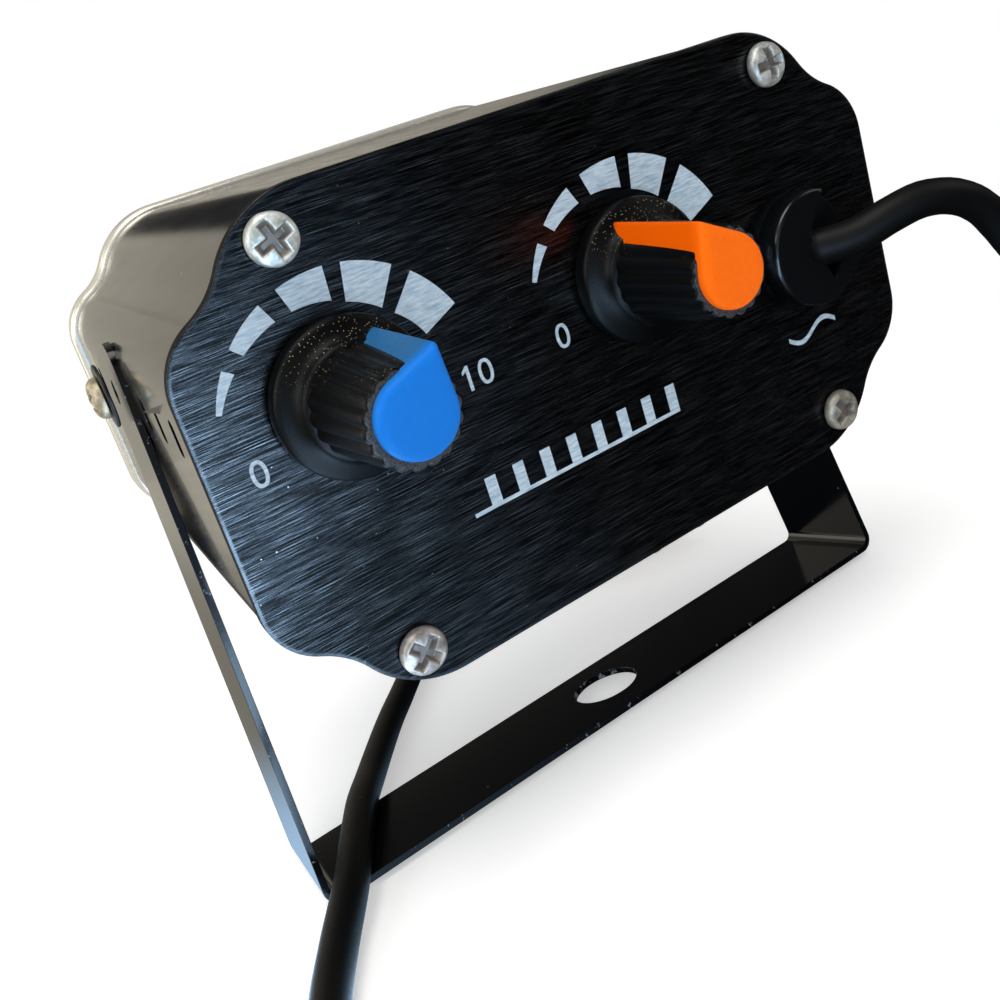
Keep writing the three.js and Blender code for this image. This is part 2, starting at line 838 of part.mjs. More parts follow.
function makeBlade(side) {
  const front = plugGripLength + plugLength;
  const whole = bladeSeat + bladeLength;
  return block(
    whole,
    bladeThickness,
    bladeWidth,
    front - bladeSeat + whole / 2,
    (side * bladeSpacing) / 2,
    0,
  );
}

// Stand: the strap's profile with its two bends, narrowed at the arm ends, with its three holes
const armTop = pivotHeight + armAbovePivot;
const leanPerHeight = Math.tan(radians(armLean));
const armInnerTop = sideFace + gap;
const footInner = armInnerTop + armTop * leanPerHeight;
function makeStand() {
  const bend = (side, radius) => {
    const x = side * (footInner - bendRadius);
    const middle = strapThickness + bendRadius;
    const from = side > 0 ? -Math.PI / 2 : Math.PI * 1.5;
    const to = side > 0 ? radians(armLean) : Math.PI - radians(armLean);
    return arc(x, middle, radius, from, to, bendSteps);
  };
  const outerTop = armInnerTop + strapThickness;
  const profile = [
    ...bend(1, bendRadius + strapThickness),
    new THREE.Vector2(outerTop, armTop),
    new THREE.Vector2(armInnerTop, armTop),
    ...bend(1, bendRadius).reverse(),
    ...bend(-1, bendRadius),
    new THREE.Vector2(-armInnerTop, armTop),
    new THREE.Vector2(-outerTop, armTop),
    ...bend(-1, bendRadius + strapThickness).reverse(),
  ];
  const halfWidth = strapWidth / 2;
  const strap = slab(profile, -halfWidth, halfWidth).rotateX(Math.PI / 2);
  const side = [
    new THREE.Vector2(-halfWidth, -overrun),
    new THREE.Vector2(halfWidth, -overrun),
    ...arc(halfWidth - armCorner, armTop - armCorner, armCorner, 0, Math.PI / 2, armCornerSteps),
    ...arc(armCorner - halfWidth, armTop - armCorner, armCorner, Math.PI / 2, Math.PI, armCornerSteps),
  ];
  const reach = footInner + strapThickness + overrun;
  const mask = slab(side, -reach, reach).rotateX(Math.PI / 2).rotateZ(Math.PI / 2);
  const pivotBore = bar(pivotScrewRadius + gap, -reach, reach, coarse)
    .rotateY(Math.PI / 2)
    .translate(0, 0, pivotHeight);
  const standHole = bar(standHoleRadius, -overrun, strapThickness + overrun, round);
  return surface(
    solid(strap).intersect(solid(mask)).subtract(solid(pivotBore)).subtract(solid(standHole)),
  );
}

// Pivot stack at the right side, from the arm's outer face outward; the left one is turned round
const washerIn = armInnerTop + strapThickness + armAbovePivot * leanPerHeight + gap;
const washerOut = washerIn + pivotWasherThickness;
function makeWasher() {
  return shaped(
    bar(pivotWasherRadius, washerIn, washerOut, fine),
    [],
    [bar(pivotScrewRadius + gap, washerIn - overrun, washerOut + overrun, coarse)],
  );
}

function makePivotScrew() {
  const seat = washerOut + gap;
  const steps = 4;
  const end = innerSide - 3 * gap - pivotNutHeight;
  const profile = [
    [0, end],
    [pivotScrewRadius, end],
    [pivotScrewRadius, seat],
  ];
  for (let i = 0; i <= steps; i++) {
    const angle = (Math.PI / 2) * (i / steps);
    profile.push([
      i === steps ? 0 : pivotHeadRadius * Math.cos(angle),
      seat + pivotHeadHeight * Math.sin(angle),
    ]);
  }
  const top = seat + pivotHeadHeight - crossDepth + overrun / 2;
  const cross = [
    block(crossLength, crossWidth, overrun, 0, 0, top),
    block(crossWidth, crossLength, overrun, 0, 0, top),
  ];
  return shaped(turned(profile, coarse), [], cross);
}

function makePivotNut() {
  const outer = innerSide - gap;
  return shaped(
    bar(pivotNutRadius, outer - pivotNutHeight, outer, 6),
    [],
    [bar(pivotScrewRadius + gap, outer - pivotNutHeight - overrun, outer + overrun, coarse)],
  );
}

// Cord grip: a round head with a notch that lets the cord leave sideways, a neck and a back flange
function makeGrip(startOfCord, cordWay) {
  const head = bar(gripRadius - gap, gap, gripHeight, round);
  const neck = bar(gripNeckRadius, -gripNeckDepth, gap + overrun, fine);
  const back = bar(gripBackRadius, -gripNeckDepth, -panelThickness - 2 * gap, fine, gripNeckRadius);
  const notch = new THREE.Shape([
    new THREE.Vector2(-gripNotchBack, -gripRadius - overrun),
    new THREE.Vector2(gripRadius + overrun, -gripRadius - overrun),
    new THREE.Vector2(gripRadius + overrun, gripRadius + overrun),
    new THREE.Vector2(-gripNotchBack, gripRadius + overrun),
  ]);
  const wedge = slab(notch, gripHeight - gripNotchDepth, gripHeight + overrun);
  wedge.rotateZ(radians(gripNotchTurn));
  const land = bar(gripRadius + overrun, -overrun, gripHeight + overrun, round).translate(
    gripNotchBack,
    -gripRadius * 2 - overrun,
    0,
  );
  const opening = surface(solid(wedge).subtract(solid(land.rotateZ(radians(gripNotchTurn)))));
  const channel = bar(cordRadius + 2 * gap, -gap, gripRadius * 2, fine);
  channel.applyQuaternion(new THREE.Quaternion().setFromUnitVectors(new THREE.Vector3(0, 0, 1), cordWay));
  channel.translate(startOfCord.x - gripX, startOfCord.y - gripY, startOfCord.z);
  const bore = bar(cordRadius + gap, -gripNeckDepth - overrun, -gap, fine);
  return shaped(head, [neck, back], [opening, channel, bore]);
}

// A wire inside the case, along a few points in the case's own frame
function makeWire(points, section) {
  const path = new THREE.CatmullRomCurve3(vectors(points), false, "centripetal");
  return new THREE.ExtrudeGeometry(section, { steps: wireSteps, extrudePath: path, bevelEnabled: false });
}

const part = new THREE.Group();
const stand = new THREE.Group();
const head = new THREE.Group();
const housing = new THREE.Group();
part.add(stand);
stand.add(head);
head.add(housing);

// The head hangs on the pivots, tilted up; the housing's frame has z out of its rear panel
head.position.set(0, 0, pivotHeight);
head.rotation.x = radians(tiltDegrees);
housing.position.set(0, -pivotToPanel, -pivotAboveMiddle);
housing.rotation.x = Math.PI / 2;
part.updateMatrixWorld(true);

housing.add(piece("case_shell", makeCase(), blackPaint()));
housing.add(piece("rear_panel", makePanel(), brushedBlack()));
housing.add(piece("front_bezel", makeBezel(), blackPaint()));
housing.add(piece("front_window", makeOptic(caseFront, windowBack), finish(0xe8eef2, 0.05, 0)));
housing.add(piece("reflector", makeReflector(), aluminium()));
housing.add(piece("led_board", makeOptic(ledBoardFront, ledBoardBack), finish(0xf0f0ec, 0.4, 0)));
ledPlaces().forEach(([x, y], i) => {
  const led = piece(`led_${i + 1}`, makeLed(), finish(0xf2e6a0, 0.2, 0));
  led.position.set(x, y, ledBoardFront - gap);
  housing.add(led);
});

// Driver board in the case's rails, and its parts standing on it
const boardTop = boardLevel + boardThickness;
const boardMiddle = -(boardRear + boardLength / 2);
const onBoard = (height) => boardTop + gap + height / 2;
const onePlace = boardLength / 8;
housing.add(
  piece(
    "driver_board",
    block(
      2 * (innerSide - gap),
      boardThickness,
      boardLength,
      0,
      boardLevel + boardThickness / 2,
      boardMiddle,
    ),
    boardGreen(),
  ),
);
const inductorX = -innerSide / 2;
const capacitorX = innerSide / 8;
const transistorX = innerSide * 0.62;
housing.add(
  piece(
    "inductor",
    block(
      inductorWidth,
      inductorHeight,
      inductorLength,
      inductorX,
      onBoard(inductorHeight),
      boardMiddle - onePlace * 2,
    ),
    finish(0xd9b021, 0.5, 0),
  ),
);
housing.add(
  piece(
    "smoothing_capacitor",
    bar(capacitorRadius, 0, capacitorHeight, fine)
      .rotateX(-Math.PI / 2)
      .translate(capacitorX, boardTop + gap, boardMiddle - onePlace * 2),
    finish(0x20242e, 0.4, 0),
  ),
);
housing.add(
  piece(
    "fuse",
    bar(fuseRadius, -fuseLength / 2, fuseLength / 2, coarse)
      .rotateY(Math.PI / 2)
      .translate(innerSide * 0.72, boardTop + gap + fuseRadius, boardMiddle - onePlace),
    finish(0xd8d2c4, 0.2, 0),
  ),
);
housing.add(
  piece(
    "bridge_rectifier",
    block(
      rectifierWidth,
      rectifierHeight,
      rectifierLength,
      innerSide / 2,
      onBoard(rectifierHeight),
      boardMiddle,
    ),
    finish(0x18181a, 0.5, 0),
  ),
);
housing.add(
  piece(
    "timing_chip",
    block(chipLength, chipHeight, chipWidth, -innerSide / 4, onBoard(chipHeight), boardMiddle + onePlace),
    finish(0x18181a, 0.5, 0),
  ),
);
housing.add(
  piece(
    "power_transistor",
    block(
      transistorWidth,
      transistorHeight,
      transistorThickness,
      transistorX,
      onBoard(transistorHeight),
      boardMiddle - onePlace * 3,
    ),
    finish(0x18181a, 0.5, 0),
  ),
);

// Dials
for (const [side, dial, color] of [
  ["left", dialLeft, 0x1c78e4],
  ["right", dialRight, 0xff7300],
]) {
  const fixed = new THREE.Group();
  fixed.position.set(dial.x, dial.y, 0);
  fixed.add(piece(`pot_${side}`, makePot(), nickel()));
  fixed.add(piece(`pot_nut_${side}`, makePotNut(), nickel()));
  const turning = new THREE.Group();
  turning.rotation.z = radians(dial.turn);
  turning.add(piece(`pot_shaft_${side}`, makeShaft(), nickel()));
  turning.add(piece(`knob_${side}`, makeKnob(), blackPlastic()));
  turning.add(piece(`knob_pointer_${side}`, makePointer(), finish(color, 0.4, 0)));
  fixed.add(turning);
  housing.add(fixed);
}

// Screws of the rear panel and of the bezel
corners(screwX, screwY).forEach(([x, y], i) => {
  const rear = piece(`panel_screw_${corner[i]}`, makeScrew(screwLength), nickel());
  rear.position.set(x, y, 0);
  housing.add(rear);
  const longer = screwLength + bezelDepth - panelThickness;
  const front = piece(`bezel_screw_${corner[i]}`, makeScrew(longer), nickel());
  front.rotation.y = Math.PI;
  front.position.set(x, y, -caseDepth);
  housing.add(front);
});

// Cord grip and the wiring behind it
const routeStart = vectors(route.slice(0, 2));
const cordStart = housing.worldToLocal(routeStart[0].clone());
const cordWay = housing.worldToLocal(routeStart[1].clone()).sub(cordStart).normalize();
const grip = piece("cord_grip", makeGrip(cordStart, cordWay), blackPlastic());
grip.position.set(gripX, gripY, 0);
housing.add(grip);
const innerCordEnd = -gripNeckDepth - innerCordLength / 2;
housing.add(
  piece(
    "cord_inner_end",
    bar(cordRadius, innerCordEnd, -2 * gap, cordSides).translate(gripX, gripY, 0),
    blackCord(),
  ),
);
const wireDrop = boardTop + gap + wireRadius;
const roundWire = new THREE.Shape(arc(0, 0, wireRadius, 0, Math.PI * 2, wireSides).slice(0, wireSides));
for (const [name, side, color] of [
  ["power_wire_live", -1, 0x7a3b20],
  ["power_wire_neutral", 1, 0x2a58b8],
]) {
  const x = gripX + side * (wireRadius + gap);
  const spread = x + side * wireRadius;
  housing.add(
    piece(
      name,
      makeWire(
        [
          [x, gripY, innerCordEnd - gap],
          [x, gripY, innerCordEnd - gap - 2 * wireRadius],
          [spread, gripY - 3 * wireRadius, innerCordEnd - 5 * wireRadius],
          [spread, wireDrop + 2 * wireRadius, innerCordEnd - 7 * wireRadius],
          [spread, wireDrop - wireRadius, innerCordEnd - 7 * wireRadius],
        ],
        roundWire,
      ),
      finish(color, 0.5, 0),
    ),
  );
}
const flatWire = new THREE.Shape([
  new THREE.Vector2(-wireRadius, -flatWireWidth / 2),
  new THREE.Vector2(wireRadius, -flatWireWidth / 2),
  new THREE.Vector2(wireRadius, flatWireWidth / 2),
  new THREE.Vector2(-wireRadius, flatWireWidth / 2),
]);
housing.add(
  piece(
    "led_cable",
    makeWire(
      [
        [0, wireDrop - wireRadius + gap, boardFront + 4 * wireRadius],
        [0, wireDrop + 4 * wireRadius, boardFront + 4 * wireRadius],
        [0, wireDrop + 6 * wireRadius, boardFront],
        [0, wireDrop + 6 * wireRadius, ledBoardBack + gap],
      ],
      flatWire,
    ),
    finish(0xb02020, 0.5, 0),
  ),
);

// Pivots: the screw and nut turn with the head, the washer lies against the arm
for (const [side, turn] of [
  ["left", -Math.PI / 2],
  ["right", Math.PI / 2],
]) {
  const stack = new THREE.Group();
  stack.rotation.y = turn;
  stack.add(piece(`pivot_screw_${side}`, makePivotScrew(), nickel()));
  stack.add(piece(`pivot_nut_${side}`, makePivotNut(), nickel()));
  head.add(stack);
  const washer = piece(`pivot_washer_${side}`, makeWasher(), finish(0x111113, 0.4, 0.6));
  washer.rotation.y = turn;
  washer.position.z = pivotHeight;
  stand.add(washer);
}

stand.add(piece("bracket", makeStand(), blackPaint()));

// Middle of what stands on the table, cord left out, becomes the origin
part.updateMatrixWorld(true);
const reach = new THREE.Box3().setFromObject(part, true);
stand.position.y = -(reach.min.y + reach.max.y) / 2;
console.log(`stand: ${stand.position.y.toFixed(3)} mm along y from the origin`);

// The free cord, its coil, the tie and the plug lie on the table
stand.add(piece("cord_lead", makeLead(), blackCord()));
stand.add(piece("cord_coil", ringTube(coilPath, cordRadius, coilSides), blackCord()));
stand.add(piece("cord_tie", makeTie(), finish(0x16161a, 0.8, 0)));
const plug = new THREE.Group();
const cordEnd = coilPath[coilPath.length - 1];
plug.position.set(cordEnd.x, cordEnd.y - gap, cordEnd.z);
plug.rotation.z = -Math.PI / 2;
plug.add(piece("plug_body", makePlug(), blackPlastic()));
plug.add(piece("plug_blade_left", makeBlade(-1), brass()));
plug.add(piece("plug_blade_right", makeBlade(1), brass()));
stand.add(plug);

export default part;
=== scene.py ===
import bmesh
import bpy
import numpy as np
from mathutils import Matrix, Vector, geometry


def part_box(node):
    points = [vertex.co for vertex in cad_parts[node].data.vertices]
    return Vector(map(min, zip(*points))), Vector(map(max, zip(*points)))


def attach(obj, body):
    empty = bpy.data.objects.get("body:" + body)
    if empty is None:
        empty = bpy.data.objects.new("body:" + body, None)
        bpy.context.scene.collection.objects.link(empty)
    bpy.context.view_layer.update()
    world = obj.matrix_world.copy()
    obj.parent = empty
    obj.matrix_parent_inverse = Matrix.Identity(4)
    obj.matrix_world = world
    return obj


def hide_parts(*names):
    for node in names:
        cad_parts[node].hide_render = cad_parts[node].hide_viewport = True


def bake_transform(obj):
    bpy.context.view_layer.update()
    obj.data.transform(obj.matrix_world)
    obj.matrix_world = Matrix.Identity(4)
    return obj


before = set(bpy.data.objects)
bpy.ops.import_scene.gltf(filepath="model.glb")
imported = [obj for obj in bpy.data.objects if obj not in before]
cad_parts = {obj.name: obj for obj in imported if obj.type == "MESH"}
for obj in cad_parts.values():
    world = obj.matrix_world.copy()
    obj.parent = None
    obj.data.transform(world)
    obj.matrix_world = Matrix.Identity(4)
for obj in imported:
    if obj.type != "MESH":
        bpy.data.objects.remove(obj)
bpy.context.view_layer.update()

# Camera. A phone held low and close behind the lamp, to its left, so near that the panel's left end
# looks half as large again as its right end. The picture is cut from a larger one, hence the shift.
camera_data = bpy.data.cameras.new("camera")
camera_data.sensor_width = 36
camera_data.lens = 36.34
camera_data.shift_x = -0.0112
camera_data.shift_y = -0.126
camera_data.clip_start = 0.005
camera_data.clip_end = 20
camera = bpy.data.objects.new("camera", camera_data)
bpy.context.scene.collection.objects.link(camera)
camera_right = np.array([0.824088, -0.410904, -0.389919])
camera_down = np.array([-0.382789, 0.103440, -0.918027])
camera_axes = np.column_stack([camera_right, -camera_down, np.cross(camera_right, -camera_down)])
camera.matrix_world = Matrix.Translation((-0.06348, -0.14351, 0.06790)) @ Matrix(camera_axes.tolist()).to_4x4()
bpy.context.scene.camera = camera
bpy.context.scene.view_settings.view_transform = "Standard"


# Mains cord. A round black cord of two cores, 5 mm thick, leaves the grip sideways, drops to the table,
# goes round the front of the lamp and back over the stand's base, and is coiled behind the lamp.
def connect(tree, node, inputs):
    """Links each input that is given as a socket, and sets the others to the values given."""
    for name, value in dict(inputs).items():
        if isinstance(value, bpy.types.NodeSocket):
            tree.links.new(value, node.inputs[name])
        else:
            node.inputs[name].default_value = value


def add_node(tree, kind, inputs=(), **settings):
    """A shader node of one kind, with its settings and its inputs, each a value or a socket."""
    node = tree.nodes.new("ShaderNode" + kind)
    for name, value in settings.items():
        setattr(node, name, value)
    connect(tree, node, inputs)
    return node


def calculate(tree, operation, *values):
    """The result of a sum on numbers, each a value or a socket."""
    return add_node(tree, "Math", dict(enumerate(values)), operation=operation).outputs[0]


def ramp(tree, value, start, end, low=0.0, high=1.0, easing="LINEAR"):
    """A number that goes from low to high as the value goes from start to end, and stays there beyond."""
    limits = {"Value": value, "From Min": start, "From Max": end, "To Min": low, "To Max": high}
    return add_node(tree, "MapRange", limits, interpolation_type=easing).outputs[0]


def object_place(tree):
    """The shaded point in object coordinates."""
    return add_node(tree, "TexCoord").outputs["Object"]


def noise(tree, place, scale, detail, roughness=0.5):
    """A noise from 0 to 1 over a place."""
    inputs = {"Vector": place, "Scale": scale, "Detail": detail, "Roughness": roughness}
    return add_node(tree, "TexNoise", inputs).outputs["Fac"]


def colour_mix(tree, factor, first, second):
    """A colour that goes from the first to the second, each a colour or a socket, as the factor goes up."""
    first, second = (c if isinstance(c, bpy.types.NodeSocket) else (*c, 1) for c in (first, second))
    return add_node(tree, "Mix", {"Factor": factor, 6: first, 7: second}, data_type="RGBA").outputs[2]


def new_material(name, color, roughness, metallic=0.0, **even):
    """A Principled material; what is the same all over the surface is set on the shader's own sockets."""
    material = bpy.data.materials.new(name)
    material.use_nodes = True
    shader = material.node_tree.nodes["Principled BSDF"]
    inputs = {"Base Color": (*color, 1), "Roughness": roughness, "Metallic": metallic}
    inputs.update((socket.replace("_", " "), value) for socket, value in even.items())
    connect(material.node_tree, shader, inputs)
    return material, material.node_tree, shader


def add_bump(tree, shader, height, strength, distance):
    """Small relief on a finish, from a height between 0 and 1."""
    relief = add_node(tree, "Bump", {"Height": height, "Strength": strength, "Distance": distance})
    connect(tree, shader, {"Normal": relief.outputs[0]})


def add_grain(tree, shader, scale, detail, rough, bump=None, roughness=0.5):
    """A fine noise that spreads a finish's roughness over a range and, with bump, its height."""
    grain = noise(tree, object_place(tree), scale, detail, roughness)
    connect(tree, shader, {"Roughness": ramp(tree, grain, 0, 1, *rough)})
    if bump:
        add_bump(tree, shader, grain, *bump)
    return grain


def new_group(name, inputs, outputs):
    """An empty node group: inputs as name, socket type and first value, outputs as name and socket type."""
    group = bpy.data.node_groups.new(name, "ShaderNodeTree")
    for socket, kind, value in inputs:
        made = group.interface.new_socket(socket, in_out="INPUT", socket_type="NodeSocket" + kind)
        if value is not None:
            made.default_value = value
    for socket, kind in outputs:
        group.interface.new_socket(socket, in_out="OUTPUT", socket_type="NodeSocket" + kind)
    return group, group.nodes.new("NodeGroupInput"), group.nodes.new("NodeGroupOutput")


def add_group(tree, group, inputs):
    """The outputs of a placed node group."""
    node = tree.nodes.new("ShaderNodeGroup")
    node.node_tree = group
    connect(tree, node, inputs)
    return node.outputs


# Dust: the nearest point of a random scatter, where it is close enough and its cell is one of the few
dust, dust_in, dust_out = new_group(
    "dust",
    [("Vector", "Vector", None), ("Scale", "Float", 900.0), ("Share", "Float", 0.1), ("Size", "Float", 0.2)],
    [("Mask", "Float")],
)
cells = add_node(dust, "TexVoronoi", {name: dust_in.outputs[name] for name in ("Vector", "Scale")}).outputs
picked = add_node(dust, "SeparateColor", {0: cells["Color"]}).outputs[0]
small = calculate(dust, "LESS_THAN", cells["Distance"], dust_in.outputs["Size"])
few = calculate(dust, "LESS_THAN", picked, dust_in.outputs["Share"])
connect(dust, dust_out, {"Mask": calculate(dust, "MULTIPLY", small, few)})


def dusted(tree, color, dust_color, scale, share, size):
    """A colour with specks of dust on it: so many cells to the metre, the share that has one, its size."""
    inputs = {"Vector": object_place(tree), "Scale": scale, "Share": share, "Size": size}
    return colour_mix(tree, add_group(tree, dust, inputs)["Mask"], color, dust_color)


def make_piece(name, points, faces, material, smooth=True):
    """A piece from an (n, 3) array of points in metres and an (m, k) array of corner numbers."""
    mesh = bpy.data.meshes.new(name)
    mesh.from_pydata(points.tolist(), [], [list(face) for face in faces])
    mesh.polygons.foreach_set("use_smooth", np.full(len(mesh.polygons), smooth))
    mesh.materials.append(material)
    piece = bpy.data.objects.new(name, mesh)
    bpy.context.scene.collection.objects.link(piece)
    return piece


def grid_faces(rows, columns, close_rows=False, close_columns=False):
    """The four-cornered faces of a grid of points, row after row, that may close on itself each way."""
    row = np.arange(rows if close_rows else rows - 1)[:, None]
    column = np.arange(columns if close_columns else columns - 1)[None, :]
    right = (column + 1) % columns
    below = (row + 1) % rows
    corners = [row * columns + column, row * columns + right, below * columns + right, below * columns + column]
    return np.stack([np.broadcast_to(c, (row.size, column.size)) for c in corners], -1).reshape(-1, 4)


def smooth_line(points, spacing):
    """Points spaced evenly along the centripetal Catmull-Rom curve through the given points."""
    ends = np.vstack([2 * points[0] - points[1], points, 2 * points[-1] - points[-2]])
    t = np.concatenate([[0], np.cumsum(np.linalg.norm(np.diff(ends, axis=0), axis=1) ** 0.5)])
    share = np.linspace(0, 1, 24, endpoint=False)[None, :, None]
    t0, t1, t2, t3 = (t[k : k - 3 or None][:, None, None] for k in range(4))
    p0, p1, p2, p3 = (ends[k : k - 3 or None][:, None, :] for k in range(4))
    now = t1 + (t2 - t1) * share
    a1 = p0 + (p1 - p0) * (now - t0) / (t1 - t0)
    a2 = p1 + (p2 - p1) * (now - t1) / (t2 - t1)
    a3 = p2 + (p3 - p2) * (now - t2) / (t3 - t2)
    b1 = a1 + (a2 - a1) * (now - t0) / (t2 - t0)
    b2 = a2 + (a3 - a2) * (now - t1) / (t3 - t1)
    line = (b1 + (b2 - b1) * (now - t1) / (t2 - t1)).reshape(-1, 3)
    line = np.vstack([line, points[-1]])
    along = np.concatenate([[0], np.cumsum(np.linalg.norm(np.diff(line, axis=0), axis=1))])
    even = np.linspace(0, along[-1], int(round(along[-1] / spacing)) + 1)
    return np.column_stack([np.interp(even, along, line[:, k]) for k in range(3)])


def tube_points(line, radius, sides):
    """Rings of a tube: at each point of the line, a circle in the plane across it."""
    tangent = np.gradient(line, axis=0)
    tangent /= np.linalg.norm(tangent, axis=1)[:, None]
    side = np.cross(tangent, [0, 0, 1.0])
    side /= np.linalg.norm(side, axis=1)[:, None]
    over = np.cross(side, tangent)
    angle = np.linspace(0, 2 * np.pi, sides, endpoint=False)[None, :, None]
    ring = side[:, None] * np.cos(angle) + over[:, None] * np.sin(angle)
    return line[:, None] + ring * np.broadcast_to(radius, len(line))[:, None, None]


stand_shift = 0.00808
cord_radius = 0.0025
cord_route = np.array([
    (0.0325, -0.0465, 0.0578), (0.038, -0.0501, 0.0572), (0.0428, -0.0526, 0.058),
    (0.0474, -0.0542, 0.0582), (0.0526, -0.0549, 0.0566), (0.0564, -0.0549, 0.0538), (0.059, -0.0546, 0.05),
    (0.0607, -0.055, 0.0452), (0.0621, -0.0566, 0.0364), (0.062, -0.0606, 0.0257), (0.06, -0.067, 0.0164),
    (0.056, -0.0752, 0.0095), (0.05, -0.0828, 0.0052), (0.0423, -0.0896, 0.0032), (0.033, -0.0953, 0.0025),
    (0.0229, -0.0998, 0.0025), (0.012, -0.103, 0.0025), (0.0006, -0.1042, 0.0025),
    (-0.0109, -0.1038, 0.0025), (-0.0221, -0.1016, 0.0025), (-0.0327, -0.0976, 0.0025),
    (-0.0424, -0.092, 0.0025), (-0.0507, -0.0851, 0.0025), (-0.0573, -0.077, 0.0025),
    (-0.0618, -0.0675, 0.0025), (-0.0638, -0.0564, 0.0025), (-0.0632, -0.0449, 0.0025),
    (-0.0603, -0.0338, 0.0025), (-0.0559, -0.0232, 0.0028), (-0.0508, -0.0129, 0.0036),
    (-0.0466, -0.0023, 0.0039), (-0.0424, 0.0085, 0.0038), (-0.0379, 0.019, 0.0028),
    (-0.0327, 0.0293, 0.0025), (-0.0271, 0.0393, 0.0025), (-0.021, 0.049, 0.0026), (-0.0149, 0.0588, 0.003),
    (-0.0101, 0.0692, 0.0035), (-0.0081, 0.08, 0.0036), (-0.0075, 0.0909, 0.0036),
]) + (0, stand_shift, 0)
coil_middle = np.array([0.0195, 0.0965 + stand_shift])
coil_radius = 0.027
coil_pitch = 0.0055
coil_level = 0.0036
coil_turns_in = 2.0
coil_turns_out = 2.0
plug_level = 0.007
# Turns run clockwise and inward on the table, up one layer in half a turn, and outward again
turns = np.linspace(0, coil_turns_in + 0.5 + coil_turns_out, 217)[2:]
climb = np.clip((turns - coil_turns_in) / 0.5, 0, 1)
inward = np.minimum(turns, coil_turns_in) - np.maximum(turns - coil_turns_in - 0.5, 0)
dip = 0.0008 * np.sin(np.pi * np.clip(turns - coil_turns_in + 0.25, 0, 1)) ** 2
turn_radius = coil_radius - coil_pitch * inward - dip
turn_angle = np.pi - turns * 2 * np.pi
coil_line = np.column_stack([
    coil_middle[0] + turn_radius * np.cos(turn_angle),
    coil_middle[1] + turn_radius * np.sin(turn_angle),
    coil_level + coil_pitch * climb,
])
last = coil_line[-1]
tail = np.array([last - (0, 0.002, 0), (last[0], last[1] - 0.005, (last[2] + plug_level) / 2),
                 (last[0], last[1] - 0.008, plug_level), (last[0], last[1] - 0.012, plug_level)])
cord_line = smooth_line(np.vstack([cord_route, coil_line, tail]), 0.0014)
cord_line[:, 2] = np.maximum(cord_line[:, 2], cord_radius)

cord_color = (0.0018, 0.0018, 0.002)
cord_finish, tree, shader = new_material("black cord sheath", cord_color, 0.5, Specular_IOR_Level=0.22)
add_grain(tree, shader, 2600, 3, (0.4, 0.62), (0.25, 0.00004))
connect(tree, shader, {"Base Color": dusted(tree, cord_color, (0.12, 0.12, 0.125), 420, 0.05, 0.09)})

cord_sides = 20
rings = tube_points(cord_line, cord_radius, cord_sides)
cord_points = np.vstack([rings.reshape(-1, 3), cord_line[0], cord_line[-1]])
start, end = len(cord_points) - 2, len(cord_points) - 1
around = np.arange(cord_sides)
onward = (around + 1) % cord_sides
caps = [np.column_stack([np.full(cord_sides, start), onward, around]),
        np.column_stack([np.full(cord_sides, end), start - cord_sides + around, start - cord_sides + onward])]
cord_wall = grid_faces(len(rings), cord_sides, close_columns=True)[:, ::-1]
cord_faces = cord_wall.tolist() + np.vstack(caps).tolist()
cord = make_piece("mains_cord", cord_points, cord_faces, cord_finish)


# Cord tie. A strip of black hook-and-loop tape, 10 mm wide, round the coil where no turn climbs.
tie_low, tie_high = (np.array(corner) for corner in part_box("cord_tie"))
tie_thickness = 0.0008
tie_corner = 0.0025


def directions(angle):
    """Points of the unit circle."""
    return np.column_stack([np.cos(angle), np.sin(angle)])


def rounded_loop(half_width, half_height, corner, steps):
    """A closed outline of a rectangle with round corners: four quarter circles, end to end."""
    quarter = directions(np.linspace(0, np.pi / 2, steps)) * corner
    inner = np.array([half_width - corner, half_height - corner])
    parts = []
    for angle in np.arange(4) * np.pi / 2:
        turn = np.array([[np.cos(angle), np.sin(angle)], [-np.sin(angle), np.cos(angle)]])
        parts.append(quarter @ turn + inner * np.sign(np.array([1, 1]) @ turn))
    return np.vstack(parts)


tie_finish, tree, shader = new_material("black hook tape", (0.02, 0.02, 0.022), 0.85, Sheen_Weight=0.4)
weave = {"Vector": object_place(tree), "Scale": 900.0, "Distortion": 1.5, "Detail": 1.0}
add_bump(tree, shader, add_node(tree, "TexWave", weave).outputs["Fac"], 0.6, 0.0002)
tie_middle = (tie_low + tie_high) / 2
tie_half = (tie_high - tie_low) / 2
section = rounded_loop(tie_half[0], tie_thickness / 2, 0.0003, 4)
loop_outer = rounded_loop(tie_half[1] - tie_thickness / 2, tie_half[2] - tie_thickness / 2, tie_corner, 10)
way = np.roll(loop_outer, -1, 0) - np.roll(loop_outer, 1, 0)
out = np.column_stack([way[:, 1], -way[:, 0]]) / np.linalg.norm(way, axis=1)[:, None]
tie_grid = np.zeros((len(loop_outer), len(section), 3))
tie_grid[..., 0] = tie_middle[0] + section[None, :, 0]
tie_grid[..., 1:] = tie_middle[1:] + loop_outer[:, None] + out[:, None] * section[None, :, 1:2]
tie_faces = grid_faces(len(loop_outer), len(section), True, True)[:, ::-1]
tie = make_piece("coil_tie", tie_grid.reshape(-1, 3), tie_faces, tie_finish)
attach(tie, "stand")
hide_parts("cord_tie")


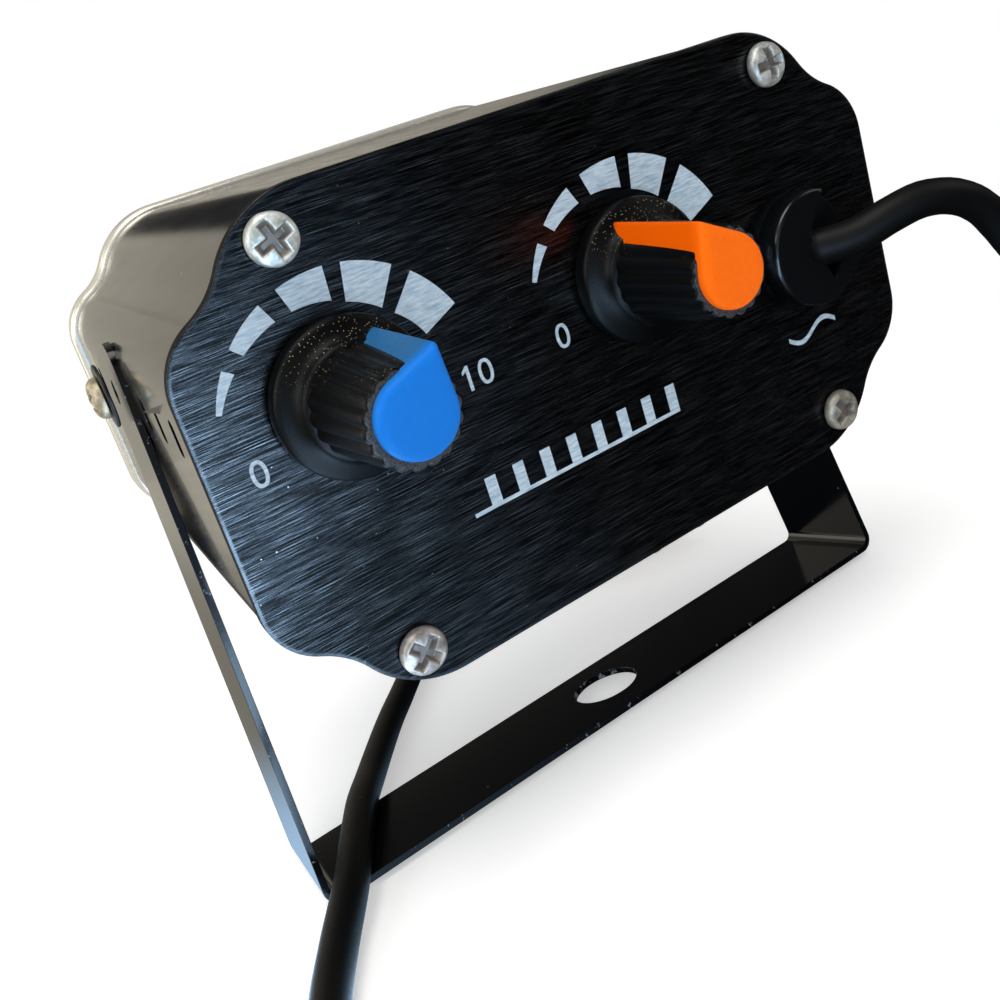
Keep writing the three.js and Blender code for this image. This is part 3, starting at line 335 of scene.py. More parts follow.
# Plug. A moulded black body with a ribbed grip that tapers into the cord, and two flat brass blades
# with a hole near each tip. It lies flat behind the coil.
plug_start = cord_line[-1] - (0, 0.0003, 0)
grip_length = 0.010
grip_end = 0.0048
body_length = 0.020
body_half = np.array([0.0105, 0.007])
body_corner = 0.004
nose_round = 0.0012
moulded_finish, tree, shader = new_material("moulded black plastic", (0.016, 0.016, 0.0175), 0.45)
add_grain(tree, shader, 3200, 4, (0.34, 0.55), (0.3, 0.00005))
# Each station is its place along the plug, its half width, half height and corner: a round that grows
# with four ribs, a shoulder that swells to the body, and a nose whose edge closes in
share = np.linspace(0, 1, 60)
ribs = 0.0036 + 0.0012 * share - 0.0006 * (0.5 - 0.5 * np.cos(share * 8 * np.pi)) ** 2
swell = np.linspace(0.1, np.pi / 2, 10)
close_in = nose_round * (1 - np.cos(np.linspace(0, np.pi / 2, 6)))
nose_along = nose_round * np.sin(np.linspace(0, np.pi / 2, 6))
stations = np.vstack([
    np.column_stack([share * grip_length, ribs, ribs, ribs]),
    np.column_stack([
        grip_length + 0.004 * (1 - np.cos(swell)),
        *(grip_end + (size - grip_end) * np.sin(swell) for size in (*body_half, body_corner)),
    ]),
    np.column_stack([
        grip_length + body_length - nose_round + nose_along,
        *(size - close_in for size in (*body_half, body_corner)),
    ]),
])
rings = np.array([
    np.column_stack([np.full(40, x), rounded_loop(wide, high, min(corner, wide - 1e-5, high - 1e-5), 10)])
    for x, wide, high, corner in stations
])
rings = np.concatenate([rings[:1] * (1, 0, 0), rings, rings[-1:] * (1, 0, 0)])
plug_points = rings.reshape(-1, 3)[:, [1, 0, 2]] * (1, -1, 1) + plug_start
plug_faces = grid_faces(len(rings), 40, close_columns=True)
plug = make_piece("plug_body_moulded", plug_points, plug_faces, moulded_finish)


def close_doubles(piece, distance=1e-7):
    """Joins points that lie on each other, as at a pole or a seam, and turns all faces outward."""
    work = bmesh.new()
    work.from_mesh(piece.data)
    bmesh.ops.remove_doubles(work, verts=work.verts, dist=distance)
    bmesh.ops.dissolve_degenerate(work, edges=work.edges, dist=distance)
    bmesh.ops.recalc_face_normals(work, faces=work.faces)
    work.to_mesh(piece.data)
    work.free()
    return piece


close_doubles(plug)
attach(plug, "stand")
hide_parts("plug_body")


def filled(loops):
    """The triangles of a flat outline, the first loop, with holes, the other loops."""
    return np.array(geometry.tessellate_polygon([[(x, y, 0) for x, y in loop] for loop in loops]))


def at_level(loop, level):
    """The points of a flat loop at one height."""
    return np.column_stack([loop, np.full(len(loop), level)])


def plate(outline, holes, low, high):
    """A flat plate between two levels: both faces cut into triangles round the holes, and all the walls."""
    loops = [outline, *holes]
    flat = np.vstack(loops)
    triangles = filled(loops)
    faces = [*triangles.tolist(), *(triangles[:, ::-1] + len(flat)).tolist()]
    first = 0
    for loop in loops:
        a = first + np.arange(len(loop))
        b = first + (np.arange(len(loop)) + 1) % len(loop)
        faces += np.column_stack([a, b, b + len(flat), a + len(flat)]).tolist()
        first += len(loop)
    return np.vstack([at_level(flat, high), at_level(flat, low)]), faces


def joined(parts):
    """The points and the faces of several parts in one."""
    points, faces, first = [], [], 0
    for part_points, part_faces in parts:
        points.append(part_points)
        faces += [(np.array(face) + first).tolist() for face in part_faces]
        first += len(part_points)
    return np.vstack(points), faces


def finish_edges(piece, width, segments=2, angle=35):
    """Rounds the sharp edges of a piece and keeps its flats flat."""
    bevel = piece.modifiers.new("rounded edges", "BEVEL")
    bevel.width = width
    bevel.segments = segments
    bevel.limit_method = "ANGLE"
    bevel.angle_limit = np.radians(angle)
    piece.modifiers.new("flat faces", "WEIGHTED_NORMAL").keep_sharp = True
    return piece


def rolled_plate(rows, holes=()):
    """A plate whose wall follows the rows, outlines and their levels from low to high, up to its face."""
    lower, upper = rows[0], rows[-1]
    wall = np.array([at_level(*row) for row in rows])
    parts = [(wall.reshape(-1, 3), grid_faces(*wall.shape[:2], close_columns=True))]
    for (outline, level), step in ((upper, 1), (lower, -1)):
        loops = [outline, *holes]
        parts.append((at_level(np.vstack(loops), level), filled(loops)[:, ::step]))
    for hole in holes:
        sleeve = np.vstack([at_level(hole, upper[1]), at_level(hole, lower[1])])
        parts.append((sleeve, grid_faces(2, len(hole), close_columns=True)))
    return joined(parts)


def moved_in(loop, inset):
    """A counter-clockwise loop moved in: each corner slides along the sum of its two sides' normals."""
    ahead = np.roll(loop, -1, 0) - loop
    normal = np.column_stack([-ahead[:, 1], ahead[:, 0]]) / np.linalg.norm(ahead, axis=1)[:, None]
    before = np.roll(normal, 1, 0)
    share = np.maximum(1 + (normal * before).sum(1), 0.5)
    return loop + inset * (normal + before) / share[:, None]


def rolled_rows(outline_at, low, high, edge, drop, steps=7):
    """Rows for a plate whose upper edge is a quarter of an oval: edge wide and drop deep."""
    angle = np.linspace(0, np.pi / 2, steps)
    insets, levels = edge * (1 - np.cos(angle)), high - drop * (1 - np.sin(angle))
    return [(outline_at(0), low), *((outline_at(inset), level) for inset, level in zip(insets, levels))]


def circle(x, y, radius, steps):
    """Points of a circle."""
    return radius * directions(np.linspace(0, 2 * np.pi, steps, endpoint=False)) + (x, y)


brass_finish, tree, shader = new_material("plug brass", (0.72, 0.53, 0.24), 0.26, 1.0)
drawn = add_node(tree, "Mapping", {"Vector": object_place(tree), "Scale": (60.0, 900.0, 900.0)}).outputs[0]
connect(tree, shader, {"Roughness": ramp(tree, noise(tree, drawn, 4, 5), 0, 1, 0.18, 0.42)})


brass_finish, tree, shader = new_material("plug brass", (0.72, 0.53, 0.24), 0.26, 1.0)
place = add_node(tree, "TexCoord")
stretch = add_node(tree, "Mapping", {"Scale": (60.0, 900.0, 900.0)})
lines = add_node(tree, "TexNoise", {"Scale": 4.0, "Detail": 5.0})
rough = add_node(tree, "MapRange", {"To Min": 0.18, "To Max": 0.42})
tree.links.new(place.outputs["Object"], stretch.inputs["Vector"])
tree.links.new(stretch.outputs[0], lines.inputs["Vector"])
tree.links.new(lines.outputs["Fac"], rough.inputs["Value"])
tree.links.new(rough.outputs[0], shader.inputs["Roughness"])
for side in ("left", "right"):
    low, high = (np.array(corner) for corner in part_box(f"plug_blade_{side}"))
    middle = (low + high) / 2
    half = (high - low) / 2
    outline = rounded_loop(half[1], half[2], 0.0012, 6)
    points, faces = plate(outline, [circle(half[1] - 0.0038, 0, 0.0015, 24)], -half[0], half[0])
    points = np.column_stack([points[:, 2], -points[:, 0], points[:, 1]]) + middle
    blade = close_doubles(make_piece(f"blade_{side}", points, faces, brass_finish))
    finish_edges(blade, 0.0002)
    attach(blade, "stand")
    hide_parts(f"plug_blade_{side}")

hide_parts("cord_lead", "cord_coil")
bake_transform(cord)


# Table, daylight and room. A pale table top carries the lamp. Big soft window light comes from above
# and from the left, and what polished black surfaces mirror is pale low down and dark behind the camera.
def smooth_ramp(tree, value, start, end, low=0.0, high=1.0):
    """A ramp that sets off and ends softly."""
    return ramp(tree, value, start, end, low, high, "SMOOTHSTEP")


def blend_shaders(tree, factor, first, second):
    """A shader that goes from the first node's to the second's as the factor goes up."""
    return add_node(tree, "MixShader", {"Fac": factor, 1: first.outputs[0], 2: second.outputs[0]})


table_finish, tree, shader = new_material("pale table", (0.86, 0.86, 0.86), 0.9, Specular_IOR_Level=0.0)
place = object_place(tree)
across, onward, _ = add_node(tree, "SeparateXYZ", {0: place}).outputs
slanting = add_node(tree, "VectorMath", {0: place, 1: (1.0, 0.3, 0)}, operation="DOT_PRODUCT").outputs["Value"]
distance = add_node(tree, "VectorMath", {0: place, 1: (0, 0, 0)}, operation="DISTANCE").outputs["Value"]
# In reflections: blue daylight to the left of the lamp, with a bright patch, less of it far in front
daylight = smooth_ramp(tree, slanting, -0.075, 0.01, 1.7, 0.02)
patch = smooth_ramp(tree, slanting, -0.076, -0.053, 10.0, 0.0)
patch_across = smooth_ramp(tree, across, -0.115, -0.085)
patch_part = calculate(tree, "MULTIPLY", patch_across, smooth_ramp(tree, onward, -0.235, -0.18))
patched = calculate(tree, "MULTIPLY_ADD", patch_part, patch, daylight)
blue_level = calculate(tree, "MULTIPLY", patched, smooth_ramp(tree, onward, -0.34, -0.2, 0.6, 1.0))
blue = add_node(tree, "Emission", {"Color": (0.43, 0.64, 0.88, 1), "Strength": blue_level})
# In reflections: warm room light far to the left, and behind the lamp's left end
behind = smooth_ramp(tree, onward, 0.02, 0.1)
back_left = calculate(tree, "MULTIPLY", behind, ramp(tree, across, -0.062, -0.042, 1.0, 0.0))
far_across = smooth_ramp(tree, across, -0.12, -0.075, 1.0, 0.0)
far_left = calculate(tree, "MULTIPLY", far_across, smooth_ramp(tree, onward, -0.13, -0.08))
warm_level = calculate(tree, "MULTIPLY_ADD", far_left, 1.1, 1.0)
warm = add_node(tree, "Emission", {"Color": (0.28, 0.26, 0.215, 1), "Strength": warm_level})
mirrored = blend_shaders(tree, calculate(tree, "MAXIMUM", back_left, far_left), blue, warm)
# Seen itself: a pale top that lifts its own shadows a little and goes to pure white away from the lamp
glow = add_node(tree, "Emission", {"Color": (1, 1, 1, 1), "Strength": 0.45})
lifted = add_node(tree, "AddShader", {0: shader.outputs[0], 1: glow.outputs[0]})
white = add_node(tree, "Emission", {"Color": (1, 1, 1, 1), "Strength": 1.0})
bleached = blend_shaders(tree, smooth_ramp(tree, distance, 0.10, 0.26), lifted, white)
glossy = add_node(tree, "LightPath").outputs["Is Glossy Ray"]
surface = blend_shaders(tree, glossy, bleached, mirrored)
connect(tree, tree.nodes["Material Output"], {"Surface": surface.outputs[0]})
table_corners = np.array([(-3.0, -3.0, 0.0), (3.0, -3.0, 0.0), (3.0, 3.0, 0.0), (-3.0, 3.0, 0.0)])
table = make_piece("table", table_corners, [(0, 1, 2, 3)], table_finish)

world = bpy.data.worlds.new("room")
bpy.context.scene.world = world
world.use_nodes = True
tree = world.node_tree
way = add_node(tree, "TexCoord").outputs["Generated"]


def facing(direction):
    """How far the way looked along points in one direction."""
    return add_node(tree, "VectorMath", {0: way, 1: direction}, operation="DOT_PRODUCT").outputs["Value"]


# In reflections: a dim room with a pale lobe behind, warm walls in front but for a dark band to the
# right, and a bright window low on the left
across, _, upward = add_node(tree, "SeparateXYZ", {0: way}).outputs
room = colour_mix(tree, smooth_ramp(tree, facing((-0.6, -0.78, -0.10)), 0.6, 0.95),
                  (0.012, 0.013, 0.016), (0.62, 0.60, 0.55))
above = smooth_ramp(tree, facing((0.1, -0.5, 1.0)), -0.14, -0.115)
band = calculate(tree, "MULTIPLY", above, smooth_ramp(tree, upward, 0.46, 0.6, 1.0, 0.0))
shade = calculate(tree, "MULTIPLY", smooth_ramp(tree, across, -0.03, 0.03), band)
front = smooth_ramp(tree, facing((-0.8, 0.6, 0.0)), -0.3, 0.12)
walls = calculate(tree, "MULTIPLY", front, calculate(tree, "SUBTRACT", 1.0, shade))
room = colour_mix(tree, walls, room, (0.50, 0.465, 0.385))
window = smooth_ramp(tree, facing((-0.81, 0.55, 0.2)), 0.82, 0.93)
room = colour_mix(tree, window, room, (2.1, 1.95, 1.7))
mirror = add_node(tree, "Background", {"Color": room, "Strength": 1.0})
# Light on matt surfaces is an even white, and what the camera sees past the table is pure white
fill = tree.nodes["Background"]
connect(tree, fill, {"Color": (1, 1, 1, 1), "Strength": 0.42})
white = add_node(tree, "Background", {"Color": (1, 1, 1, 1), "Strength": 1.0})
seen = add_node(tree, "LightPath").outputs
clear = calculate(tree, "MAXIMUM", seen["Is Camera Ray"], seen["Is Transmission Ray"])
surround = blend_shaders(tree, clear, blend_shaders(tree, seen["Is Glossy Ray"], fill, mirror), white)
connect(tree, tree.nodes["World Output"], {"Surface": surround.outputs[0]})

lamp_aim = Vector((0, 0, 0.06))
for name, size, energy, spot, tint in [
    ("window_above", 0.5, 3.4, (-0.15, -0.35, 0.75), (1.0, 0.985, 0.95)),
    ("window_left", 0.45, 2.2, (-0.75, -0.25, 0.35), (0.93, 0.97, 1.0)),
    ("room_right", 0.5, 0.8, (0.7, -0.45, 0.45), (1.0, 0.97, 0.93)),
]:
    lamp_data = bpy.data.lights.new(name, "AREA")
    lamp_data.size = size
    lamp_data.energy = energy
    lamp_data.color = tint
    lamp = bpy.data.objects.new(name, lamp_data)
    bpy.context.scene.collection.objects.link(lamp)
    turned_to_lamp = (Vector(spot) - lamp_aim).to_track_quat("Z", "Y").to_matrix().to_4x4()
    lamp.matrix_world = Matrix.Translation(spot) @ turned_to_lamp


# Stand. One strip of 1 mm steel, 21 mm wide, bent up at both ends into arms that lean in a little, with
# a mounting hole in its base and rounded arm ends. Gloss black enamel, chipped to grey along its edges.
strap_half = 10.5
strap_thickness = 1.0
bend_radius = 2.5
arm_lean = np.radians(2.6)
arm_top = 83.3
pivot_height = 77.0
foot_inner = 50.6 + arm_top * np.tan(arm_lean)
base_half = foot_inner - bend_radius
bend_length = bend_radius * (np.pi / 2 + arm_lean)
arm_foot = strap_thickness + bend_radius * (1 + np.sin(arm_lean))
arm_start = base_half + bend_length
end_along = arm_start + (arm_top - arm_foot) / np.cos(arm_lean)
hole_along = arm_start + (pivot_height - arm_foot) / np.cos(arm_lean)
base_hole_radius = 5.5
pivot_hole_radius = 1.8


def fold(along, across):
    """The strap's inner face: flat base, a bend of constant radius, then a straight arm that leans in."""
    distance = np.abs(along)
    angle = np.clip((distance - base_half) / bend_radius, 0, np.pi / 2 + arm_lean)
    up = np.maximum(distance - base_half - bend_length, 0)
    x = np.minimum(distance, base_half) + bend_radius * np.sin(angle) - up * np.sin(arm_lean)
    z = strap_thickness + bend_radius * (1 - np.cos(angle)) + up * np.cos(arm_lean)
    return np.column_stack([np.sign(along) * x, across + stand_shift * 1000, z]) / 1000


arm_corner = 4.0
top_arc = arm_corner * (directions(np.linspace(0, np.pi / 2, 9)) - 1) + (end_along, strap_half)
arm_outline = np.vstack([
    [(arm_start, -strap_half)], (top_arc * (1, -1))[::-1], top_arc, [(arm_start, strap_half)],
])
base_outline = np.array([(-1, -1), (1, -1), (1, 1), (-1, 1)]) * (base_half, strap_half)


def flat_stretch(outline, hole):
    """A flat stretch of the strap, cut into triangles round its hole."""
    return np.vstack([outline, hole]), filled([outline, hole])


def bend(side, steps=13):
    """A bend of the strap before it is folded: rows across it from the base to the arm."""
    along = side * np.linspace(base_half, arm_start, steps)
    across = np.tile([-strap_half, strap_half], steps)
    return np.column_stack([np.repeat(along, 2), across]), grid_faces(steps, 2)


strip_flat, strip_faces = joined([
    flat_stretch(base_outline, circle(0, 0, base_hole_radius, 64)),
    flat_stretch(arm_outline, circle(hole_along, 0, pivot_hole_radius, 24)),
    flat_stretch((arm_outline * (-1, 1))[::-1], circle(-hole_along, 0, pivot_hole_radius, 24)),
    bend(-1),
    bend(1),
])

# The enamel is worn through to grey steel in chips along the strap's edges and round its base hole
enamel_color = (0.002, 0.0023, 0.003)
enamel_finish, tree, shader = new_material("gloss black enamel", enamel_color, 0.16, Coat_Weight=0.1,
                                          Coat_Roughness=0.08, Specular_IOR_Level=0.36)
strip_map = add_node(tree, "UVMap", uv_map="strip").outputs[0]
chips = noise(tree, object_place(tree), 800, 6, 0.7)
off_middle = calculate(tree, "ABSOLUTE", add_node(tree, "SeparateXYZ", {0: strip_map}).outputs["Y"])
edge_worn = calculate(tree, "GREATER_THAN", off_middle, ramp(tree, chips, 0.53, 0.72, 10.7, 10.3))
from_hole = add_node(tree, "VectorMath", {0: strip_map}, operation="LENGTH").outputs["Value"]
at_hole = calculate(tree, "LESS_THAN", from_hole, base_hole_radius + 0.12)
hole_worn = calculate(tree, "MULTIPLY", at_hole, calculate(tree, "GREATER_THAN", chips, 0.56))
worn = calculate(tree, "MAXIMUM", edge_worn, hole_worn)
dusty = dusted(tree, enamel_color, (0.16, 0.17, 0.18), 700, 0.03, 0.12)
bare = colour_mix(tree, worn, dusty, (0.15, 0.19, 0.24))
connect(tree, shader, {"Base Color": bare, "Roughness": ramp(tree, worn, 0, 1, 0.15, 0.45)})
add_bump(tree, shader, noise(tree, object_place(tree), 900, 2), 0.06, 0.0001)

stand = make_piece("stand_strap", fold(strip_flat[:, 0], strip_flat[:, 1]), strip_faces, enamel_finish)


def map_corners(piece, name, flat):
    """A UV map that gives each face corner its point's flat coordinates."""
    layer = piece.data.uv_layers.new(name=name)
    corners = np.zeros(len(piece.data.loops), int)
    piece.data.loops.foreach_get("vertex_index", corners)
    layer.data.foreach_set("uv", flat[corners].astype(np.float32).ravel())


map_corners(stand, "strip", strip_flat)
close_doubles(stand, 2e-6)
wall = stand.modifiers.new("thickness", "SOLIDIFY")
wall.thickness = strap_thickness / 1000
wall.offset = -1
finish_edges(stand, 0.00018)
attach(stand, "stand")
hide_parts("bracket")


# Case. A sleeve drawn from 1.2 mm sheet, its corners a hollow between two rounds, with four upright
# vent slots in each side wall. Gloss black enamel with faint lines along its length.
tilt = np.radians(13)
panel_to_pivot = 46.0
pivot_above_middle = 8.4
case_frame = (
    Matrix.Translation((0, stand_shift, pivot_height / 1000)) @ Matrix.Rotation(tilt, 4, "X")
    @ Matrix.Translation((0, -panel_to_pivot / 1000, -pivot_above_middle / 1000))
    @ Matrix.Rotation(np.pi / 2, 4, "X")
)
case_matrix = np.array(case_frame)


def in_case(points):
    """Millimetres from the panel's middle, z out of the panel, to metres in the row frame."""
    return np.asarray(points) / 1000 @ case_matrix[:3, :3].T + case_matrix[:3, 3]


panel_half = np.array([50.6, 30.1])
top_radius, side_radius, hollow_radius = 12.97, 8.26, 11.35
side_straight = 12.34
top_round = np.array([30.5, panel_half[1] - top_radius])
side_round = np.array([panel_half[0] - side_radius, side_straight])


def ogee_outline(inset, steps=(22, 14, 22)):
    """The case's outline moved in by inset: in each corner a round, a hollow and a round meet in tangents."""
    way = side_round - top_round
    span = np.linalg.norm(way)
    way = way / span
    near = top_radius + hollow_radius
    far = side_radius + hollow_radius
    along = (near**2 - far**2 + span**2) / (2 * span)
    hollow = top_round + way * along + np.array([-way[1], way[0]]) * np.sqrt(near**2 - along**2)
    side_turn = np.arctan2(*(hollow - side_round)[::-1])
    top_turn = np.arctan2(*(hollow - top_round)[::-1])

    def arc(middle, radius, first, last, count):
        return middle + radius * directions(np.linspace(first, last, count))

    corner = np.vstack([
        arc(side_round, side_radius - inset, 0, side_turn, steps[0]),
        arc(hollow, hollow_radius + inset, side_turn - np.pi, top_turn - np.pi, steps[1])[1:],
        arc(top_round, top_radius - inset, top_turn, np.pi / 2, steps[2])[1:],
    ])
    return np.vstack([corner, (corner * (-1, 1))[::-1], corner * (-1, -1), (corner * (1, -1))[::-1]])


case_inset = 0.3
case_back = -1.8
case_front = -79.7
case_outline = ogee_outline(case_inset)
quarter = len(case_outline) // 4
levels = np.linspace(case_back, case_front, 24)
vent_half = (1.12, 2.3)
vent_corner = 1.05
vent_y = 7.4
vent_places = (-9, -18.5, -28, -66)


def curved_half(loop):
    """Half of the sleeve without the flat side walls: the loop's points at each level."""
    grid = np.array([at_level(loop, level) for level in levels])
    return grid.reshape(-1, 3), grid_faces(*grid.shape[:2])


def side_wall(side):
    """A flat side wall with its vents and its pivot hole, drawn from the side as place along and height."""
    lower = np.column_stack([levels, np.full(len(levels), -side_straight)])
    around = np.vstack([lower, (lower * (1, -1))[::-1]])
    slots = [rounded_loop(*vent_half, vent_corner, 6) + (z, vent_y) for z in vent_places]
    loops = [around, *slots, circle(-panel_to_pivot, pivot_above_middle, pivot_hole_radius, 24)]
    flat = np.vstack(loops)
    x = np.full(len(flat), side * (panel_half[0] - case_inset))
    return np.column_stack([x, flat[:, ::-1]]), filled(loops)


shell_points, shell_faces = joined([
    curved_half(case_outline[: 2 * quarter]), curved_half(case_outline[2 * quarter :]),
    side_wall(-1), side_wall(1),
])

case_color = (0.002, 0.002, 0.0023)
case_finish, tree, shader = new_material("gloss black case", case_color, 0.12, Coat_Weight=0.4,
                                        Coat_Roughness=0.05)
lengthwise = {"Vector": object_place(tree), "Rotation": (-tilt, 0.0, 0.0), "Scale": (420.0, 16.0, 420.0)}
drawn = noise(tree, add_node(tree, "Mapping", lengthwise).outputs[0], 1, 4, 0.6)
waves = noise(tree, object_place(tree), 55, 2)
add_bump(tree, shader, calculate(tree, "ADD", drawn, waves), 0.12, 0.0003)
dusty = dusted(tree, case_color, (0.2, 0.19, 0.17), 600, 0.04, 0.13)
connect(tree, shader, {"Base Color": dusty, "Roughness": ramp(tree, drawn, 0, 1, 0.08, 0.26)})


def flatten(piece, direction):
    """Shades the faces that lie square to a direction flat, so that their long triangles don't show."""
    facing = np.zeros(3 * len(piece.data.polygons))
    piece.data.polygons.foreach_get("normal", facing)
    piece.data.polygons.foreach_set("use_smooth", np.abs(facing.reshape(-1, 3) @ direction) < 0.9999)


case = close_doubles(make_piece("case_sleeve", in_case(shell_points), shell_faces, case_finish), 2e-6)
flatten(case, case_matrix[:3, 0])
wall = case.modifiers.new("thickness", "SOLIDIFY")
wall.thickness = 0.0012
wall.offset = -1
finish_edges(case, 0.00015)
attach(case, "head")
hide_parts("case_shell")


# Rear panel. A 1.5 mm aluminium plate, blackened and then brushed from side to side, held by a screw in
# each corner. Long bright scratches and dust lie on it. Its edge is rolled and painted a little pale in
# patches, as rubbing and as a painted highlight, and its wall is painted near black, as shade.
brushing, brush_in, brush_out = new_group(
    "brushing",
    [("Vector", "Vector", None), ("Long", "Float", 22.0), ("Fine", "Float", 2600.0)],
    [("Lines", "Float"), ("Scratch", "Float")],
)
place, long, fine = (brush_in.outputs[name] for name in ("Vector", "Long", "Fine"))
stretch = add_node(brushing, "CombineXYZ", {"X": long, "Y": fine, "Z": fine}).outputs[0]
scaled = add_node(brushing, "VectorMath", {0: place, 1: stretch}, operation="MULTIPLY").outputs[0]
longer = add_node(brushing, "VectorMath", {0: scaled, 1: (0.3, 0.8, 1.0)}, operation="MULTIPLY").outputs[0]
scratches = ramp(brushing, noise(brushing, longer, 1, 2), 0.72, 0.80)
connect(brushing, brush_out, {"Lines": noise(brushing, scaled, 1, 5, 0.7), "Scratch": scratches})


def upright_place(tree):
    """The shaded point as it would be if the lamp were not tilted."""
    return add_node(tree, "Mapping", {"Vector": object_place(tree), "Rotation": (-tilt, 0.0, 0.0)}).outputs[0]


def two_tones(tree, factor, *stops):
    """The colour between two stops, each a place from 0 to 1 and a colour."""
    node = add_node(tree, "ValToRGB", {"Fac": factor})
    for element, (position, color) in zip(node.color_ramp.elements, stops):
        element.position = position
        element.color = (*color, 1)
    return node.outputs["Color"]


panel_finish, tree, shader = new_material("brushed black aluminium", (0.02, 0.022, 0.026), 0.3, 0.9)
upright = upright_place(tree)
brushed = add_group(tree, brushing, {"Vector": upright, "Long": 150.0, "Fine": 13500.0})
tone = two_tones(tree, brushed["Lines"], (0.49, (0.003, 0.003, 0.0034)), (0.76, (0.26, 0.27, 0.285)))
tone = colour_mix(tree, brushed["Scratch"], tone, (0.24, 0.25, 0.27))
tone = dusted(tree, tone, (0.28, 0.26, 0.24), 1100, 0.06, 0.09)
# How far back a point lies tells the face from its rolled edge, in metres, and the edge from the wall
back = add_node(tree, "SeparateXYZ", {0: upright}).outputs["Y"]
# Pale patches on the rolled edge: rubbing, and a painted highlight along the bevel
edge_patches = ramp(tree, noise(tree, object_place(tree), 260, 5, 0.7), 0.42, 0.62, 0.3, 0.85)
edge_wear_and_highlight = calculate(tree, "MULTIPLY", ramp(tree, back, -0.020804, -0.020796), edge_patches)
# The plate's wall is painted near black and rough: painted shade of the gap between panel and case
wall_painted_shade = ramp(tree, back, -0.02071, -0.02068)
tone = colour_mix(tree, edge_wear_and_highlight, tone, (0.085, 0.09, 0.095))
tone = colour_mix(tree, wall_painted_shade, tone, (0.002, 0.002, 0.002))
rough = ramp(tree, brushed["Lines"], 0.3, 0.7, 0.13, 0.25)
connect(tree, shader, {"Base Color": tone, "Roughness": calculate(tree, "MULTIPLY_ADD", wall_painted_shade, 0.6, rough)})
add_bump(tree, shader, brushed["Lines"], 0.3, 0.00006)

panel_thickness = 1.5
panel_edge, panel_edge_drop = 0.6, 0.1
screw_places = {"top_left": (-35.2, 25), "top_right": (35.2, 25), "bottom_right": (35.2, -25),
                "bottom_left": (-35.2, -25)}
dial_places = {"left": (-33.0, 6.5), "right": (7.2, 6.5)}
grip_place = np.array([33.0, 0.5])
holes = [circle(x, y, 1.8, 24) for x, y in screw_places.values()]
holes += [circle(x, y, 3.8, 32) for x, y in dial_places.values()]
holes += [circle(*grip_place, 4.7, 32)]
points, faces = rolled_plate(rolled_rows(ogee_outline, -panel_thickness, 0, panel_edge, panel_edge_drop), holes)
panel = close_doubles(make_piece("rear_panel_plate", in_case(points), faces, panel_finish))
flatten(panel, case_matrix[:3, 2])
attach(panel, "head")
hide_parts("rear_panel")


# Print on the panel. Pale blue-white ink, a little speckled: five tapered blocks over each dial, plain
# numbers at the ends of its travel, and plain signs where the maker's words are left off.
ink_finish, tree, shader = new_material("pale ink", (0.43, 0.55, 0.67), 0.5)
streaks = add_group(tree, brushing, {"Vector": upright_place(tree), "Long": 420.0, "Fine": 3600.0})["Lines"]
ink_tone = two_tones(tree, streaks, (0.32, (0.22, 0.34, 0.47)), (0.62, (0.56, 0.69, 0.80)))
connect(tree, shader, {"Base Color": ink_tone})
ink_levels = (0.01, 0.05)
ink_parts = []


def print_shape(outline, holes=()):
    """Adds one printed shape, a thin film on the panel."""
    ink_parts.append(plate(outline, holes, *ink_levels))


# Each block spans some degrees about its dial; the share of the radius where it starts grows with the angle
mark_radius = 15.77
mark_spans = [(161, 144), (135.6, 115.7), (106.9, 86.3), (78.8, 57.1), (48.6, 24.3)]
taper_angles = (24, 31, 48, 57, 79, 87, 107, 116, 136, 144, 161)
taper_shares = (0.689, 0.689, 0.682, 0.689, 0.726, 0.759, 0.819, 0.843, 0.896, 0.913, 0.963)
mark_places = [(-32.0, 4.9), (7.7, 4.9)]
for place in mark_places:
    for span in mark_spans:
        angle = np.linspace(*span, 12)
        outer = directions(np.radians(angle)) * mark_radius
        inner = outer * np.interp(angle, taper_angles, taper_shares)[:, None]
        print_shape(np.vstack([outer, inner[::-1]])[::-1] + place)


def print_zero(x, y, height):
    """A plain nought: the space between two ovals."""
    angle = np.linspace(0, 2 * np.pi, 40, endpoint=False)
    oval = np.column_stack([np.sign(np.cos(angle)) * np.abs(np.cos(angle)) ** 0.8, np.sin(angle)])
    half = np.array([height * 0.31, height * 0.5])
    print_shape(oval * half + (x, y), [oval * (half - height * 0.135) + (x, y)])


def print_one(x, y, height):
    """A plain one: an upright bar with a short slanted flag."""
    half = height / 2
    bar = height * 0.07
    print_shape(np.array([(bar, -half), (bar, half), (-bar * 0.6, half), (-bar * 3.4, half * 0.62),
                          (-bar * 3.4, half * 0.36), (-bar, half * 0.6), (-bar, -half)]) + (x, y))


digit_height = 3.1
digit_drop = 2.4
for dial_x, dial_y in mark_places:
    print_zero(dial_x - 13.0, dial_y - digit_drop, digit_height)
    print_one(dial_x + 13.2, dial_y - digit_drop, digit_height)
    print_zero(dial_x + 15.5, dial_y - digit_drop, digit_height)
# A row of pulses where the title stood: thin line and raised blocks, as a lamp flashes
pulse_low, pulse_line, pulse_high = -13.6, -13.1, -9.6
pulse_x, pulse_step = np.linspace(-23.5, 8.5, 9, retstep=True)
for x in pulse_x[:-1]:
    rise = x + pulse_step * 0.62
    print_shape(np.array([(x, pulse_low), (rise, pulse_low), (rise, pulse_line), (x, pulse_line)]))
    after = x + pulse_step
    print_shape(np.array([(rise, pulse_low), (after, pulse_low), (after, pulse_high), (rise, pulse_high)]))
